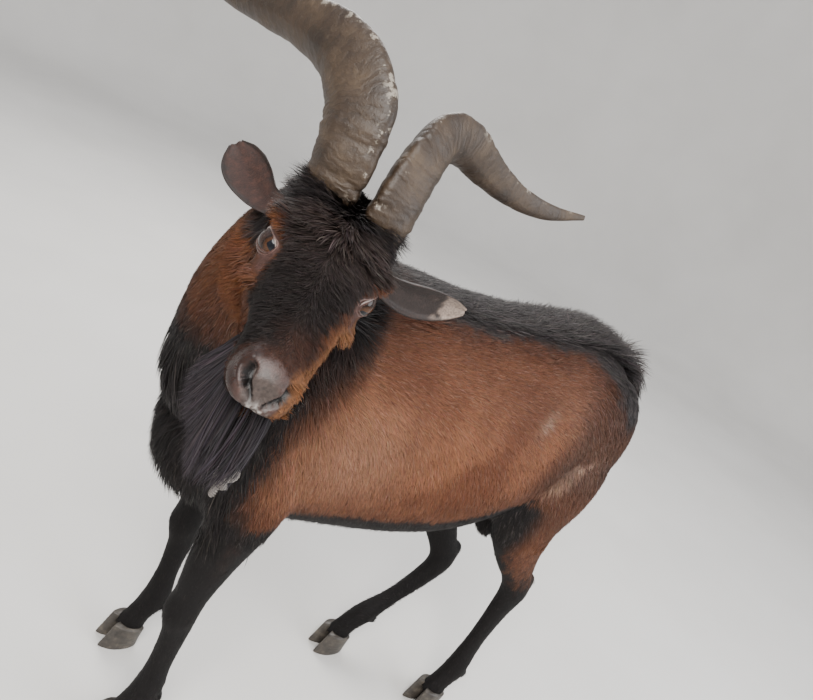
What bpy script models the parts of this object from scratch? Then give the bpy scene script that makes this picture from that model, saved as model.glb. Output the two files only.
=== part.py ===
"""An alpine buck goat, life size, standing with its head turned to its left.

The goat faces -X, its left side is -Y and its hooves stand on Z = 0. All sizes are in metres.
The flesh is lofted from a few rows of sizes, fused into one skin, and parted by thin cuts."""

import math
import random

import bmesh
import bpy
import numpy as np
from mathutils import Matrix, Vector
from mathutils.bvhtree import BVHTree

# The gap that is kept between two touching pieces
GAP = 0.0003
# How far a piece is grown before it is cut out of its neighbour, so that no place has less than the gap
CLEARANCE = GAP * 1.4

# The solver for the flesh and its locks. The exact one empties them at the neck's cut
FLESH_SOLVER = "MANIFOLD"

# The size of the grain in which the flesh is fused, and how far its creases are softened
GRAIN = 0.0045
SOFTENING = 9

# Triangles left in the flesh after it is thinned
BODY_TRIANGLES = 2850
HEAD_TRIANGLES = 1160

# The head's own frame: its origin is the poll, between the horns
POLL = Vector((-0.322, -0.1465, 0.948))
HEAD_AZIMUTH = math.radians(-116.5)
NOSE_BELOW_LEVEL = math.radians(7.0)
HEAD_TILT = math.radians(-9.5)
HEAD_SCALE = 0.97

# In the head's own frame left is the positive side
HEAD_LEFT, HEAD_RIGHT = 1, -1
HEAD_SIDES = {HEAD_LEFT: "left", HEAD_RIGHT: "right"}

# Eyes. The right one looks more to the front than the left one
EYE_RADIUS = 0.0155
LID_THICKNESS = 0.0030
EYE_GRID = (8, 12)
EYE_PLACE = (0.112, 0.0505, -0.040)
EYE_LOOKS = {HEAD_LEFT: (0.38, 0.90, 0.16), HEAD_RIGHT: (0.56, -0.80, 0.20)}
SLIT_RUNS = (0.93, 0.0, -0.30)
EYE_OPENING = (0.0125, 0.0078, 0.0125)

# Horns
HORN_RIDGES = 17
HORN_RIDGE_HEIGHT = 0.035

# Hooves
CORONET_HEIGHT = 0.040
CLEFT = 0.0040
CLAW_HALF_WIDTH = 0.0128

# The black crest along the back
BACK_START, BACK_END = -0.185, 0.385
BACK_LOCKS = 13
CREST_HEIGHT = 0.022

# Rings of the neck that carry locks, with the turns from the nape at which they grow
MANE_RINGS = (
    (19, (0, -150, 180, 150)),
    (16, (-22, 22, -165, 165)),
    (13, (0, -150, 180, 150)),
    (10, (-22, 22, -165, 165, 130, -130)),
)

# Heights on the chest at which its shag grows, with the distances from the midline
CHEST_ROWS = (
    (0.640, (-0.060, -0.020, 0.020, 0.060)),
    (0.590, (-0.080, -0.040, 0.0, 0.040, 0.080)),
)

BELLY_LOCKS = 8
TAIL_LOCKS = 9

# The beard's rows: how far forward on the chin, how many locks, how long
BEARD_ROWS = ((0.250, 5, 0.098), (0.236, 6, 0.108), (0.222, 5, 0.096))
BEARD_SPREAD = 0.026

# Rows of the forelock, with the distances from the midline
FORELOCK_ROWS = (
    (0.050, (-0.036, -0.012, 0.012, 0.036)),
    (0.072, (-0.024, 0.0, 0.024)),
    (0.094, (-0.030, 0.0, 0.030)),
)
JAW_LOCKS = 3

# The rope collar
ROPE_RADIUS = 0.0062
COLLAR_STEPS = 28
ROPE_SIDES = 5
KNOT_SIZE = 0.016


def clear_scene():
    for obj in list(bpy.data.objects):
        bpy.data.objects.remove(obj, do_unlink=True)


def head_axes():
    """The head's forward, left and up directions as the columns of a matrix."""
    level = Vector((math.cos(HEAD_AZIMUTH), math.sin(HEAD_AZIMUTH), 0))
    forward = level * math.cos(NOSE_BELOW_LEVEL) - Vector((0, 0, math.sin(NOSE_BELOW_LEVEL)))
    left = Vector((0, 0, 1)).cross(level)
    up = forward.cross(left)
    turn = Matrix.Rotation(HEAD_TILT, 3, forward)
    return Matrix((forward, turn @ left, turn @ up)).transposed()


HEAD_TURN = head_axes()


def on_head(forward, left, up):
    """A point given in the head's frame, as a world point."""
    return POLL + HEAD_TURN @ (Vector((forward, left, up)) * HEAD_SCALE)


def head_direction(forward, left, up):
    return (HEAD_TURN @ Vector((forward, left, up))).normalized()


def smooth_rows(rows, count):
    """count rows read from a Catmull-Rom curve through the given rows."""
    rows = np.array(rows, float)
    padded = np.vstack([2 * rows[0] - rows[1], rows, 2 * rows[-1] - rows[-2]])
    read = []
    for place in np.linspace(0, len(rows) - 1, count):
        i = min(int(place), len(rows) - 2)
        t = place - i
        a, b, c, d = padded[i : i + 4]
        bend = (2 * a - 5 * b + 4 * c - d) * t**2 + (3 * b - a - 3 * c + d) * t**3
        read.append(0.5 * (2 * b + (c - a) * t + bend))
    return np.array(read)


def mesh_object(name, points, faces):
    mesh = bpy.data.meshes.new(name)
    mesh.from_pydata([tuple(p) for p in points], [], faces)
    obj = bpy.data.objects.new(name, mesh)
    bpy.context.scene.collection.objects.link(obj)
    shell = bmesh.new()
    shell.from_mesh(mesh)
    bmesh.ops.recalc_face_normals(shell, faces=shell.faces)
    shell.to_mesh(mesh)
    shell.free()
    return obj


def skin_rings(name, rings):
    """A closed body through rings of points that all have the same number."""
    sides = len(rings[0])
    points = [p for ring in rings for p in ring]
    faces = []
    for i in range(len(rings) - 1):
        for j in range(sides):
            k = (j + 1) % sides
            faces.append((i * sides + j, i * sides + k, (i + 1) * sides + k, (i + 1) * sides + j))
    faces.append(tuple(range(sides)))
    faces.append(tuple(range((len(rings) - 1) * sides, len(rings) * sides)))
    return mesh_object(name, points, faces)


def oval_ring(centre, side, up, half_side, half_up, half_down, sides, power=2.0):
    """A ring round centre, flatter or squarer as power grows above 2."""
    ring = []
    for step in range(sides):
        angle = 2 * math.pi * step / sides
        c, s = math.cos(angle), math.sin(angle)
        across = math.copysign(abs(c) ** (2 / power), c) * half_side
        high = math.copysign(abs(s) ** (2 / power), s) * (half_up if s > 0 else half_down)
        ring.append(centre + side * across + up * high)
    return ring


def limb(name, rows, side, rings=24, sides=18):
    """A tube through rows of (x, y, z, half side, half depth). Its rings face along the curve."""
    read = smooth_rows(rows, rings)
    centres = [Vector(r[:3]) for r in read]
    made = []
    for i, row in enumerate(read):
        along = (centres[min(i + 1, rings - 1)] - centres[max(i - 1, 0)]).normalized()
        depth = along.cross(side).normalized()
        made.append(oval_ring(centres[i], depth.cross(along), depth, row[3], row[4], row[4], sides))
    return skin_rings(name, made)


def egg(name, centre, axes, radii, rings=12, sides=16):
    """An ellipsoid with its radii along the three given axes."""
    made = []
    for i in range(rings):
        angle = math.pi * (i + 0.5) / rings
        middle = centre + axes[0] * (math.cos(angle) * radii[0])
        wide, high = math.sin(angle) * radii[1], math.sin(angle) * radii[2]
        made.append(oval_ring(middle, axes[1], axes[2], wide, high, high, sides))
    return skin_rings(name, made)


WORLD_AXES = (Vector((1, 0, 0)), Vector((0, 1, 0)), Vector((0, 0, 1)))

# The trunk from chest to rump: x, top, bottom, half width
TRUNK = (
    (-0.362, 0.610, 0.515, 0.030),
    (-0.345, 0.690, 0.476, 0.074),
    (-0.300, 0.765, 0.446, 0.115),
    (-0.230, 0.832, 0.428, 0.140),
    (-0.130, 0.842, 0.420, 0.154),
    (0.000, 0.832, 0.416, 0.166),
    (0.110, 0.832, 0.426, 0.166),
    (0.210, 0.838, 0.462, 0.152),
    (0.300, 0.840, 0.520, 0.132),
    (0.368, 0.816, 0.560, 0.108),
    (0.412, 0.770, 0.608, 0.076),
    (0.430, 0.732, 0.646, 0.040),
)

# Where the trunk is widest, as a share of its height, and how square its rings are
TRUNK_MIDDLE = 0.46
TRUNK_POWER = 2.15


def trunk():
    made = []
    for x, top, bottom, width in smooth_rows(TRUNK, 40):
        middle = bottom + (top - bottom) * TRUNK_MIDDLE
        centre = Vector((x, 0, middle))
        across, up = WORLD_AXES[1], WORLD_AXES[2]
        made.append(oval_ring(centre, across, up, width, top - middle, middle - bottom, 32, TRUNK_POWER))
    return skin_rings("trunk", made)


# A foreleg from shoulder to coronet: x, distance from the midline, z, half side, half depth
FORELEG = (
    (-0.270, 0.082, 0.640, 0.046, 0.080),
    (-0.252, 0.104, 0.540, 0.046, 0.072),
    (-0.250, 0.106, 0.465, 0.040, 0.056),
    (-0.258, 0.100, 0.390, 0.031, 0.043),
    (-0.264, 0.096, 0.315, 0.0255, 0.030),
    (-0.268, 0.095, 0.278, 0.0270, 0.0305),
    (-0.262, 0.094, 0.235, 0.0205, 0.0245),
    (-0.262, 0.093, 0.165, 0.0180, 0.0215),
    (-0.264, 0.092, 0.102, 0.0235, 0.0270),
    (-0.280, 0.091, 0.066, 0.0215, 0.0235),
    (-0.292, 0.090, 0.030, 0.0260, 0.0290),
)
RIGHT_FORELEG_BACK = 0.045

# A hind leg from hip to coronet, standing square, as the left one does
HIND_LEG = (
    (0.310, 0.078, 0.690, 0.048, 0.110),
    (0.305, 0.098, 0.600, 0.052, 0.108),
    (0.292, 0.106, 0.510, 0.046, 0.086),
    (0.318, 0.105, 0.435, 0.036, 0.058),
    (0.358, 0.103, 0.368, 0.0250, 0.036),
    (0.380, 0.102, 0.322, 0.0250, 0.034),
    (0.376, 0.101, 0.268, 0.0200, 0.0265),
    (0.370, 0.100, 0.180, 0.0175, 0.0215),
    (0.366, 0.100, 0.102, 0.0225, 0.0265),
    (0.350, 0.100, 0.066, 0.0210, 0.0235),
    (0.338, 0.099, 0.030, 0.0255, 0.0285),
)

# The right hind leg, bent and set forward under the belly
BENT_HIND_LEG = (
    (0.300, 0.078, 0.680, 0.048, 0.108),
    (0.280, 0.096, 0.580, 0.052, 0.102),
    (0.232, 0.100, 0.480, 0.045, 0.078),
    (0.262, 0.086, 0.385, 0.036, 0.052),
    (0.318, 0.068, 0.292, 0.0255, 0.034),
    (0.340, 0.061, 0.245, 0.0250, 0.034),
    (0.318, 0.057, 0.200, 0.0205, 0.0265),
    (0.262, 0.052, 0.140, 0.0175, 0.0215),
    (0.213, 0.050, 0.094, 0.0225, 0.0260),
    (0.186, 0.050, 0.064, 0.0210, 0.0235),
    (0.172, 0.050, 0.030, 0.0255, 0.0285),
)

LEFT, RIGHT = -1, 1


def set_leg(rows, side, back=0.0):
    """The rows with their distance from the midline put on one side of the body."""
    return [(x + back, y * side, z, *rest) for x, y, z, *rest in rows]


LEG_ROWS = {
    "foreleg_left": set_leg(FORELEG, LEFT),
    "foreleg_right": set_leg(FORELEG, RIGHT, RIGHT_FORELEG_BACK),
    "hindleg_left": set_leg(HIND_LEG, LEFT),
    "hindleg_right": set_leg(BENT_HIND_LEG, RIGHT),
}

# The row of each leg's middle joint, the knee or the hock, and of the fetlock
JOINT_ROW = 5
FETLOCK_ROW = 8


def legs():
    made = []
    for name, rows in LEG_ROWS.items():
        made.append(limb(name, rows, WORLD_AXES[1], rings=44, sides=18))
        if name.startswith("hind"):
            x, y, z = rows[JOINT_ROW][:3]
            hock = Vector((x + 0.022, y, z + 0.020))
            made.append(egg("hock_point", hock, WORLD_AXES, (0.017, 0.013, 0.026)))
    return made


# The neck from the chest to the back of the skull: x, y, z, half side, half depth
NECK_RINGS = 26
NECK = (
    (-0.205, 0.000, 0.660, 0.105, 0.170),
    (-0.268, -0.002, 0.715, 0.104, 0.160),
    (-0.306, -0.022, 0.778, 0.088, 0.128),
    (-0.322, -0.062, 0.838, 0.076, 0.104),
    (-0.322, -0.108, 0.872, 0.068, 0.090),
    (-0.330, -0.150, 0.880, 0.055, 0.072),
)


def neck_frames():
    """Rings along the neck: centre, left, nape and row. Left turns from the body's to the head's."""
    read = smooth_rows(NECK, NECK_RINGS)
    centres = [Vector(r[:3]) for r in read]
    body_left = Vector((0, -1, 0))
    head_left = HEAD_TURN @ Vector((0, 1, 0))
    frames = []
    for i, row in enumerate(read):
        along = (centres[min(i + 1, NECK_RINGS - 1)] - centres[max(i - 1, 0)]).normalized()
        left = body_left.lerp(head_left, min(1.0, i / (NECK_RINGS * 0.8)))
        nape = along.cross(left).normalized()
        frames.append((centres[i], nape.cross(along), nape, row))
    return frames


def neck():
    made = []
    for centre, left, nape, row in neck_frames():
        made.append(oval_ring(centre, left, nape, row[3], row[4], row[4], 26))
    return skin_rings("neck_tube", made)


# The skull and upper face: distance from the poll, middle height, half up, half down, half width
SKULL = (
    (-0.050, -0.062, 0.018, 0.022, 0.026),
    (-0.025, -0.052, 0.040, 0.050, 0.050),
    (0.015, -0.046, 0.050, 0.064, 0.060),
    (0.060, -0.045, 0.057, 0.070, 0.063),
    (0.100, -0.048, 0.054, 0.065, 0.062),
    (0.140, -0.060, 0.049, 0.049, 0.050),
    (0.180, -0.064, 0.041, 0.041, 0.0385),
    (0.218, -0.070, 0.034, 0.034, 0.0330),
    (0.250, -0.076, 0.031, 0.031, 0.0305),
    (0.272, -0.079, 0.026, 0.026, 0.0275),
    (0.286, -0.082, 0.016, 0.016, 0.0190),
)

# The lower jaw, in the same order
JAW = (
    (-0.010, -0.100, 0.045, 0.034, 0.034),
    (0.025, -0.108, 0.055, 0.047, 0.046),
    (0.065, -0.110, 0.055, 0.045, 0.045),
    (0.115, -0.110, 0.045, 0.035, 0.037),
    (0.165, -0.108, 0.035, 0.028, 0.030),
    (0.215, -0.106, 0.026, 0.021, 0.0250),
    (0.248, -0.106, 0.023, 0.023, 0.0225),
    (0.268, -0.106, 0.015, 0.018, 0.0160),
)


def head_loft(name, rows, power):
    forward, left, up = HEAD_TURN.col
    made = []
    for place, middle, high, low, width in smooth_rows(rows, 30):
        sizes = [size * HEAD_SCALE for size in (width, high, low)]
        made.append(oval_ring(on_head(place, 0, middle), left, up, *sizes, 28, power))
    return skin_rings(name, made)


def eye_place(side):
    forward, left, up = EYE_PLACE
    return on_head(forward, left * side, up)


def eye_axes(side):
    """The way the eye looks, the way its slit runs, and the way across the slit."""
    looks = head_direction(*EYE_LOOKS[side])
    slit = head_direction(*SLIT_RUNS)
    slit = (slit - looks * slit.dot(looks)).normalized()
    return looks, slit, looks.cross(slit)


# Round swellings on each side of the head: name, place in the head's frame, radii. The last two are
# what the ear and the horn grow from
HEAD_SWELLINGS = (
    ("brow", (0.098, 0.050, -0.022), (0.032, 0.017, 0.016)),
    ("cheekbone", (0.120, 0.046, -0.062), (0.036, 0.014, 0.014)),
    ("nostril_wing", (0.262, 0.0155, -0.071), (0.016, 0.0125, 0.018)),
    ("ear_stub", (0.000, 0.046, -0.055), (0.022, 0.020, 0.022)),
    ("horn_stub", (0.026, 0.030, -0.010), (0.044, 0.030, 0.022)),
)


def head_pieces():
    made = [head_loft("skull", SKULL, 2.25), head_loft("jaw", JAW, 2.2)]
    head_frame = tuple(HEAD_TURN.col)
    for side in HEAD_SIDES:
        for name, (forward, left, up), radii in HEAD_SWELLINGS:
            made.append(egg(name, on_head(forward, left * side, up), head_frame, radii))
        looks, slit, across = eye_axes(side)
        made.append(egg("lids", eye_place(side), (looks, slit, across), (EYE_RADIUS + LID_THICKNESS,) * 3))
    made.append(egg("chin", on_head(0.244, 0, -0.116), head_frame, (0.024, 0.017, 0.015)))
    return made


TAIL = (
    (0.380, 0.0, 0.795, 0.034, 0.030),
    (0.424, 0.0, 0.788, 0.030, 0.022),
    (0.450, 0.0, 0.752, 0.030, 0.015),
    (0.461, 0.0, 0.700, 0.022, 0.010),
    (0.463, 0.0, 0.665, 0.008, 0.005),
)


def flesh_pieces():
    made = [trunk(), neck(), limb("tail", TAIL, WORLD_AXES[1], rings=16, sides=14)]
    made += legs()
    made += head_pieces()
    slope = Matrix.Rotation(math.radians(18), 3, "Y")
    for side in (LEFT, RIGHT):
        shoulder = tuple(slope @ a for a in WORLD_AXES)
        back = RIGHT_FORELEG_BACK * 0.5 if side == RIGHT else 0.0
        blade = Vector((-0.255 + back, 0.088 * side, 0.665))
        made.append(egg("shoulder", blade, shoulder, (0.078, 0.052, 0.150)))
        made.append(egg("haunch", Vector((0.308, 0.078 * side, 0.670)), WORLD_AXES, (0.126, 0.062, 0.140)))
    made.append(egg("scrotum", Vector((0.330, 0, 0.428)), WORLD_AXES, (0.032, 0.038, 0.058)))
    made.append(egg("scrotum_neck", Vector((0.325, 0, 0.500)), WORLD_AXES, (0.024, 0.026, 0.050)))
    made.append(egg("sheath", Vector((0.095, 0, 0.420)), WORLD_AXES, (0.060, 0.018, 0.018)))
    return made


def join(name, objects):
    """One object that holds the meshes of all the others, still overlapping."""
    joined = bmesh.new()
    for obj in objects:
        joined.from_mesh(obj.data)
        bpy.data.objects.remove(obj, do_unlink=True)
    mesh = bpy.data.meshes.new(name)
    joined.to_mesh(mesh)
    joined.free()
    obj = bpy.data.objects.new(name, mesh)
    bpy.context.scene.collection.objects.link(obj)
    return obj


def bake_modifiers(obj):
    """Puts what the modifiers make into the object's own mesh."""
    graph = bpy.context.evaluated_depsgraph_get()
    made = bpy.data.meshes.new_from_object(obj.evaluated_get(graph))
    obj.modifiers.clear()
    obj.data = made
    return obj


def fuse_flesh(pieces):
    flesh = join("flesh", pieces)
    grain = flesh.modifiers.new("grain", "REMESH")
    grain.mode = "VOXEL"
    grain.voxel_size = GRAIN
    grain.use_smooth_shade = True
    soften = flesh.modifiers.new("soften", "SMOOTH")
    soften.factor = 0.5
    soften.iterations = SOFTENING
    return bake_modifiers(flesh)


def copy_of(obj, name):
    made = bpy.data.objects.new(name, obj.data.copy())
    bpy.context.scene.collection.objects.link(made)
    return made


def thin_out(obj, triangles):
    """Collapses the least needed edges until about that many triangles are left."""
    obj.data.calc_loop_triangles()
    thin = obj.modifiers.new("thin", "DECIMATE")
    thin.ratio = min(1.0, triangles / len(obj.data.loop_triangles))
    thin.use_collapse_triangulate = True
    return bake_modifiers(obj)


def boolean(obj, operation, other, solver="EXACT"):
    cut = obj.modifiers.new("boolean", "BOOLEAN")
    cut.operation = operation
    cut.object = other
    cut.solver = solver
    bake_modifiers(obj)
    bpy.data.objects.remove(other, do_unlink=True)
    return obj


def fuse(obj, pieces, solver="EXACT"):
    """Joins closed pieces to the object by one union."""
    group = bpy.data.collections.new("pieces")
    bpy.context.scene.collection.children.link(group)
    for piece in pieces:
        for home in list(piece.users_collection):
            home.objects.unlink(piece)
        group.objects.link(piece)
    union = obj.modifiers.new("union", "BOOLEAN")
    union.operation = "UNION"
    union.operand_type = "COLLECTION"
    union.collection = group
    union.solver = solver
    bake_modifiers(obj)
    for piece in pieces:
        bpy.data.objects.remove(piece, do_unlink=True)
    bpy.data.collections.remove(group)
    return obj


def surface_tree(obj):
    points = [v.co for v in obj.data.vertices]
    return BVHTree.FromPolygons(points, [p.vertices for p in obj.data.polygons])


def shells(obj):
    """The closed surfaces of the mesh, as lists of faces, largest first."""
    whole = bmesh.new()
    whole.from_mesh(obj.data)
    whole.faces.ensure_lookup_table()
    seen, found = set(), []
    for start in whole.faces:
        if start.index in seen:
            continue
        seen.add(start.index)
        shell, reach = [], [start]
        while reach:
            face = reach.pop()
            shell.append(face.index)
            for edge in face.edges:
                for near in edge.link_faces:
                    if near.index not in seen:
                        seen.add(near.index)
                        reach.append(near)
        found.append(shell)
    whole.free()
    return sorted(found, key=len, reverse=True)


def keep_faces(obj, wanted):
    whole = bmesh.new()
    whole.from_mesh(obj.data)
    whole.faces.ensure_lookup_table()
    wanted = set(wanted)
    bmesh.ops.delete(whole, geom=[f for f in whole.faces if f.index not in wanted], context="FACES")
    whole.to_mesh(obj.data)
    whole.free()
    return obj


def keep_largest(obj):
    return keep_faces(obj, shells(obj)[0])


def slab(name, centre, normal, half_long, half_wide, long_way, thickness=GAP):
    """A thin plate across the flesh. normal is its thin way."""
    normal = Vector(normal).normalized()
    long_way = (Vector(long_way) - normal * Vector(long_way).dot(normal)).normalized()
    wide_way = normal.cross(long_way)
    points = []
    for thin in (-0.5, 0.5):
        for a, b in ((-1, -1), (1, -1), (1, 1), (-1, 1)):
            in_plane = long_way * (a * half_long) + wide_way * (b * half_wide)
            points.append(Vector(centre) + normal * (thin * thickness) + in_plane)
    faces = [(0, 1, 2, 3), (4, 5, 6, 7), (0, 1, 5, 4), (1, 2, 6, 5), (2, 3, 7, 6), (3, 0, 4, 7)]
    return mesh_object(name, points, faces)


# The cut between head and neck, in the head's frame
HEAD_CUT = (-0.012, 0.0, -0.090)
HEAD_CUT_NORMAL = (0.888, 0.0, 0.46)

HEAD_BLOCK_DEPTH = 0.36

# The cut between neck and trunk
NECK_CUT = Vector((-0.275, 0.0, 0.705))
NECK_CUT_NORMAL = Vector((-0.885, 0.0, 0.466))


# The fold between thigh and belly, along which the hind legs are parted from the trunk
FLANK_FOLD_FRONT = Vector((0.200, 0, 0.440))
FLANK_FOLD_BACK = Vector((0.400, 0, 0.550))


def body_cuts():
    """Plates that part the flesh of the body into its nodes."""
    made = [
        slab("neck_cut", NECK_CUT, NECK_CUT_NORMAL, 0.235, 0.2, (0.4, 0, 0.9)),
        slab("tail_cut", (0.426, 0, 0.775), (0.94, 0, 0.34), 0.060, 0.060, (0, 1, 0)),
        slab("scrotum_cut", (0.328, 0, 0.478), (0, 0, 1), 0.045, 0.046, (1, 0, 0)),
    ]
    for name, rows in LEG_ROWS.items():
        side = LEFT if name.endswith("left") else RIGHT
        if name.startswith("fore"):
            centre = Vector((rows[2][0], 0.098 * side, 0.436))
            made.append(slab("leg_cut", centre, (0, -0.50 * side, 0.86), 0.080, 0.090, (0, 1, 0)))
        else:
            centre = (FLANK_FOLD_FRONT + FLANK_FOLD_BACK) / 2 + Vector((0, 0.108 * side, 0))
            fold = FLANK_FOLD_BACK - FLANK_FOLD_FRONT
            across = WORLD_AXES[1]
            made.append(slab("leg_cut", centre, fold.cross(across), 0.062, fold.length * 0.85, across))
        joint, above = Vector(rows[JOINT_ROW][:3]), Vector(rows[JOINT_ROW - 1][:3])
        below = Vector(rows[JOINT_ROW + 1][:3])
        made.append(slab("joint_cut", joint, above - below, 0.045, 0.060, (0, 1, 0)))
    return made


def coronet_plane(rows):
    """A point on the top of the hoof and the way up from it, sloping down to the heel."""
    x, y = rows[-1][:2]
    return Vector((x, y, CORONET_HEIGHT)), Vector((0.30, 0, 1.0)).normalized()


def coronet_box(rows, above):
    """A block above or below the coronet's plane that reaches half a gap past it."""
    point, normal = coronet_plane(rows)
    height = 0.035
    shift = (height - GAP) / 2 * (1 if above else -1)
    return slab("coronet", point + normal * shift, normal, 0.06, 0.06, (0, 1, 0), height)


# A claw's rings: height, how far back its middle lies, half length, and share of its width
CLAW_LEVELS = ((0.0, -0.012, 0.0335, 1.0), (0.020, -0.008, 0.0300, 1.0), (0.058, 0.002, 0.0240, 0.92))


def claw(rows, inner):
    """One half of a cloven hoof, pointed at the toe, standing flat."""
    x, y = rows[-1][:2]
    side = -1 if y < 0 else 1
    middle = y + (CLEFT / 2 + CLAW_HALF_WIDTH) * side * (-1 if inner else 1)
    sides = 9
    made = []
    for z, back, long, wide in CLAW_LEVELS:
        ring = []
        for step in range(sides):
            angle = 2 * math.pi * step / sides
            across = math.sin(angle) * CLAW_HALF_WIDTH * wide
            forward = -math.cos(angle) * long
            pinch = 1.0 - 0.45 * max(0.0, math.cos(angle)) ** 2
            ring.append(Vector((x + back + forward, middle + across * pinch, z)))
        made.append(ring)
    return skin_rings("claw", made)


def hooves():
    made = []
    for name, rows in LEG_ROWS.items():
        for place, inner in (("inner", True), ("outer", False)):
            hoof = boolean(claw(rows, inner), "DIFFERENCE", coronet_box(rows, True))
            hoof.name = f"claw_{name}_{place}"
            made.append(hoof)
    return made


def dewclaws(rows):
    x, y, z = rows[FETLOCK_ROW][:3]
    lean = Matrix.Rotation(math.radians(-25), 3, "Y")
    axes = tuple(lean @ a for a in WORLD_AXES)
    return [
        egg("dewclaw", Vector((x + 0.024, y + 0.012 * side, z - 0.012)), axes, (0.010, 0.0075, 0.014), 5, 8)
        for side in (LEFT, RIGHT)
    ]


def body_labels():
    """A point inside each node of the body, by which the parted pieces get their names."""
    labels = {
        "neck": Vector((-0.318, -0.045, 0.815)),
        "trunk": Vector((0.05, 0, 0.62)),
        "tail": Vector((0.455, 0, 0.73)),
        "scrotum": Vector((0.330, 0, 0.432)),
    }
    for name, rows in LEG_ROWS.items():
        labels[name + "_upper"] = Vector(rows[4][:3])
        labels[name + "_lower"] = Vector(rows[7][:3])
    return labels


def part_body(flesh, locks):
    """The body's flesh, thinned, cut, and given one object for each node."""
    body = thin_out(copy_of(flesh, "body"), BODY_TRIANGLES)
    body = keep_largest(fuse(body, locks, FLESH_SOLVER))
    # The head is taken off the body's copy, because it comes from a finer one
    body = boolean(body, "DIFFERENCE", head_side_block(-GAP / 2), FLESH_SOLVER)
    for name, rows in LEG_ROWS.items():
        body = boolean(body, "DIFFERENCE", coronet_box(rows, False), FLESH_SOLVER)
    for cutter in body_cuts():
        body = boolean(body, "DIFFERENCE", cutter, FLESH_SOLVER)
    labels = body_labels()
    nodes = {}
    for shell in shells(body):
        if len(shell) < 20:
            continue
        piece = keep_faces(copy_of(body, "piece"), shell)
        tree = surface_tree(piece)
        inside = [name for name, point in labels.items() if name not in nodes and holds(tree, point)]
        if not inside:
            bpy.data.objects.remove(piece, do_unlink=True)
            continue
        piece.name = inside[0]
        nodes[inside[0]] = piece
    bpy.data.objects.remove(body, do_unlink=True)
    missing = sorted(set(labels) - set(nodes))
    if missing:
        raise ValueError(f"no flesh was found for {missing}")
    return nodes


def holds(tree, point):
    """Whether a closed surface holds the point: a ray from it crosses it an odd number of times."""
    crossings, start, way = 0, Vector(point), Vector((0.0113, 0.9997, 0.0217)).normalized()
    while True:
        hit, _, _, _ = tree.ray_cast(start, way)
        if hit is None:
            return crossings % 2 == 1
        crossings += 1
        start = hit + way * 1e-5


def behind_head_block(shift):
    """A block on the neck's side of the cut between head and neck, moved shift along the cut's normal."""
    normal = head_direction(*HEAD_CUT_NORMAL)
    centre = on_head(*HEAD_CUT) + normal * (shift - HEAD_BLOCK_DEPTH / 2)
    return slab("behind_head", centre, normal, 0.6, 0.6, (0, 0, 1), HEAD_BLOCK_DEPTH)


def head_side_block(shift):
    """A block on the head's side of that cut. It takes the head off the body."""
    normal = head_direction(*HEAD_CUT_NORMAL)
    across, down = HEAD_TURN.col[1], normal.cross(HEAD_TURN.col[1])
    centre = on_head(*HEAD_CUT) + normal * (shift + HEAD_BLOCK_DEPTH / 2)
    return slab("head_side", centre, normal, 0.135, 0.125, across, HEAD_BLOCK_DEPTH)


def piece_that_holds(obj, point):
    """Keeps the closed surface that holds the point."""
    for shell in shells(obj):
        piece = keep_faces(copy_of(obj, obj.name), shell)
        tree = surface_tree(piece)
        if holds(tree, point):
            bpy.data.objects.remove(obj, do_unlink=True)
            return piece
        bpy.data.objects.remove(piece, do_unlink=True)
    raise ValueError(f"no piece of {obj.name} holds the point")


def grown(obj, distance):
    """A copy of the piece whose surface is moved out by the distance."""
    copy = copy_of(obj, "grown")
    shell = bmesh.new()
    shell.from_mesh(copy.data)
    shell.normal_update()
    moves = []
    for point in shell.verts:
        steepest = min(point.normal.dot(face.normal) for face in point.link_faces)
        moves.append(point.normal * (distance / max(0.5, steepest)))
    for point, move in zip(shell.verts, moves):
        point.co += move
    shell.to_mesh(copy.data)
    shell.free()
    return copy


def cleared(obj, other):
    """The piece without the room that the other one takes, and a gap round it."""
    return boolean(obj, "DIFFERENCE", grown(other, CLEARANCE), FLESH_SOLVER)


def part_head(flesh):
    """The head, thinned before its back is cut, so that the cut stays flat."""
    head = boolean(copy_of(flesh, "head"), "DIFFERENCE", behind_head_block(-0.02), FLESH_SOLVER)
    head = piece_that_holds(head, on_head(0.10, 0, -0.06))
    head = thin_out(head, HEAD_TRIANGLES)
    head = boolean(head, "DIFFERENCE", behind_head_block(GAP / 2), FLESH_SOLVER)
    return piece_that_holds(head, on_head(0.10, 0, -0.06))


def eyelids(head):
    """Round lids with an almond opening, round a socket that the eye fits."""
    lids, sockets, openings = [], [], []
    for side in HEAD_SIDES:
        looks, slit, across = eye_axes(side)
        place = eye_place(side)
        lid_radius = EYE_RADIUS + LID_THICKNESS
        frame = (slit, across, looks)
        lids.append(egg("lids", place, frame, (lid_radius, lid_radius, lid_radius), 8, 12))
        sockets.append(egg("socket", place, frame, (EYE_RADIUS + GAP,) * 3, *EYE_GRID))
        front = place + looks * (EYE_RADIUS + 0.004)
        openings.append(egg("opening", front, frame, EYE_OPENING, 7, 12))
    head = fuse(head, lids, FLESH_SOLVER)
    for cutter in sockets + openings:
        head = boolean(head, "DIFFERENCE", cutter, FLESH_SOLVER)
    return keep_largest(head)


def eyeball(side):
    looks, slit, across = eye_axes(side)
    name = f"eye_{HEAD_SIDES[side]}"
    return egg(name, eye_place(side), (slit, across, looks), (EYE_RADIUS,) * 3, *EYE_GRID)


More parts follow.
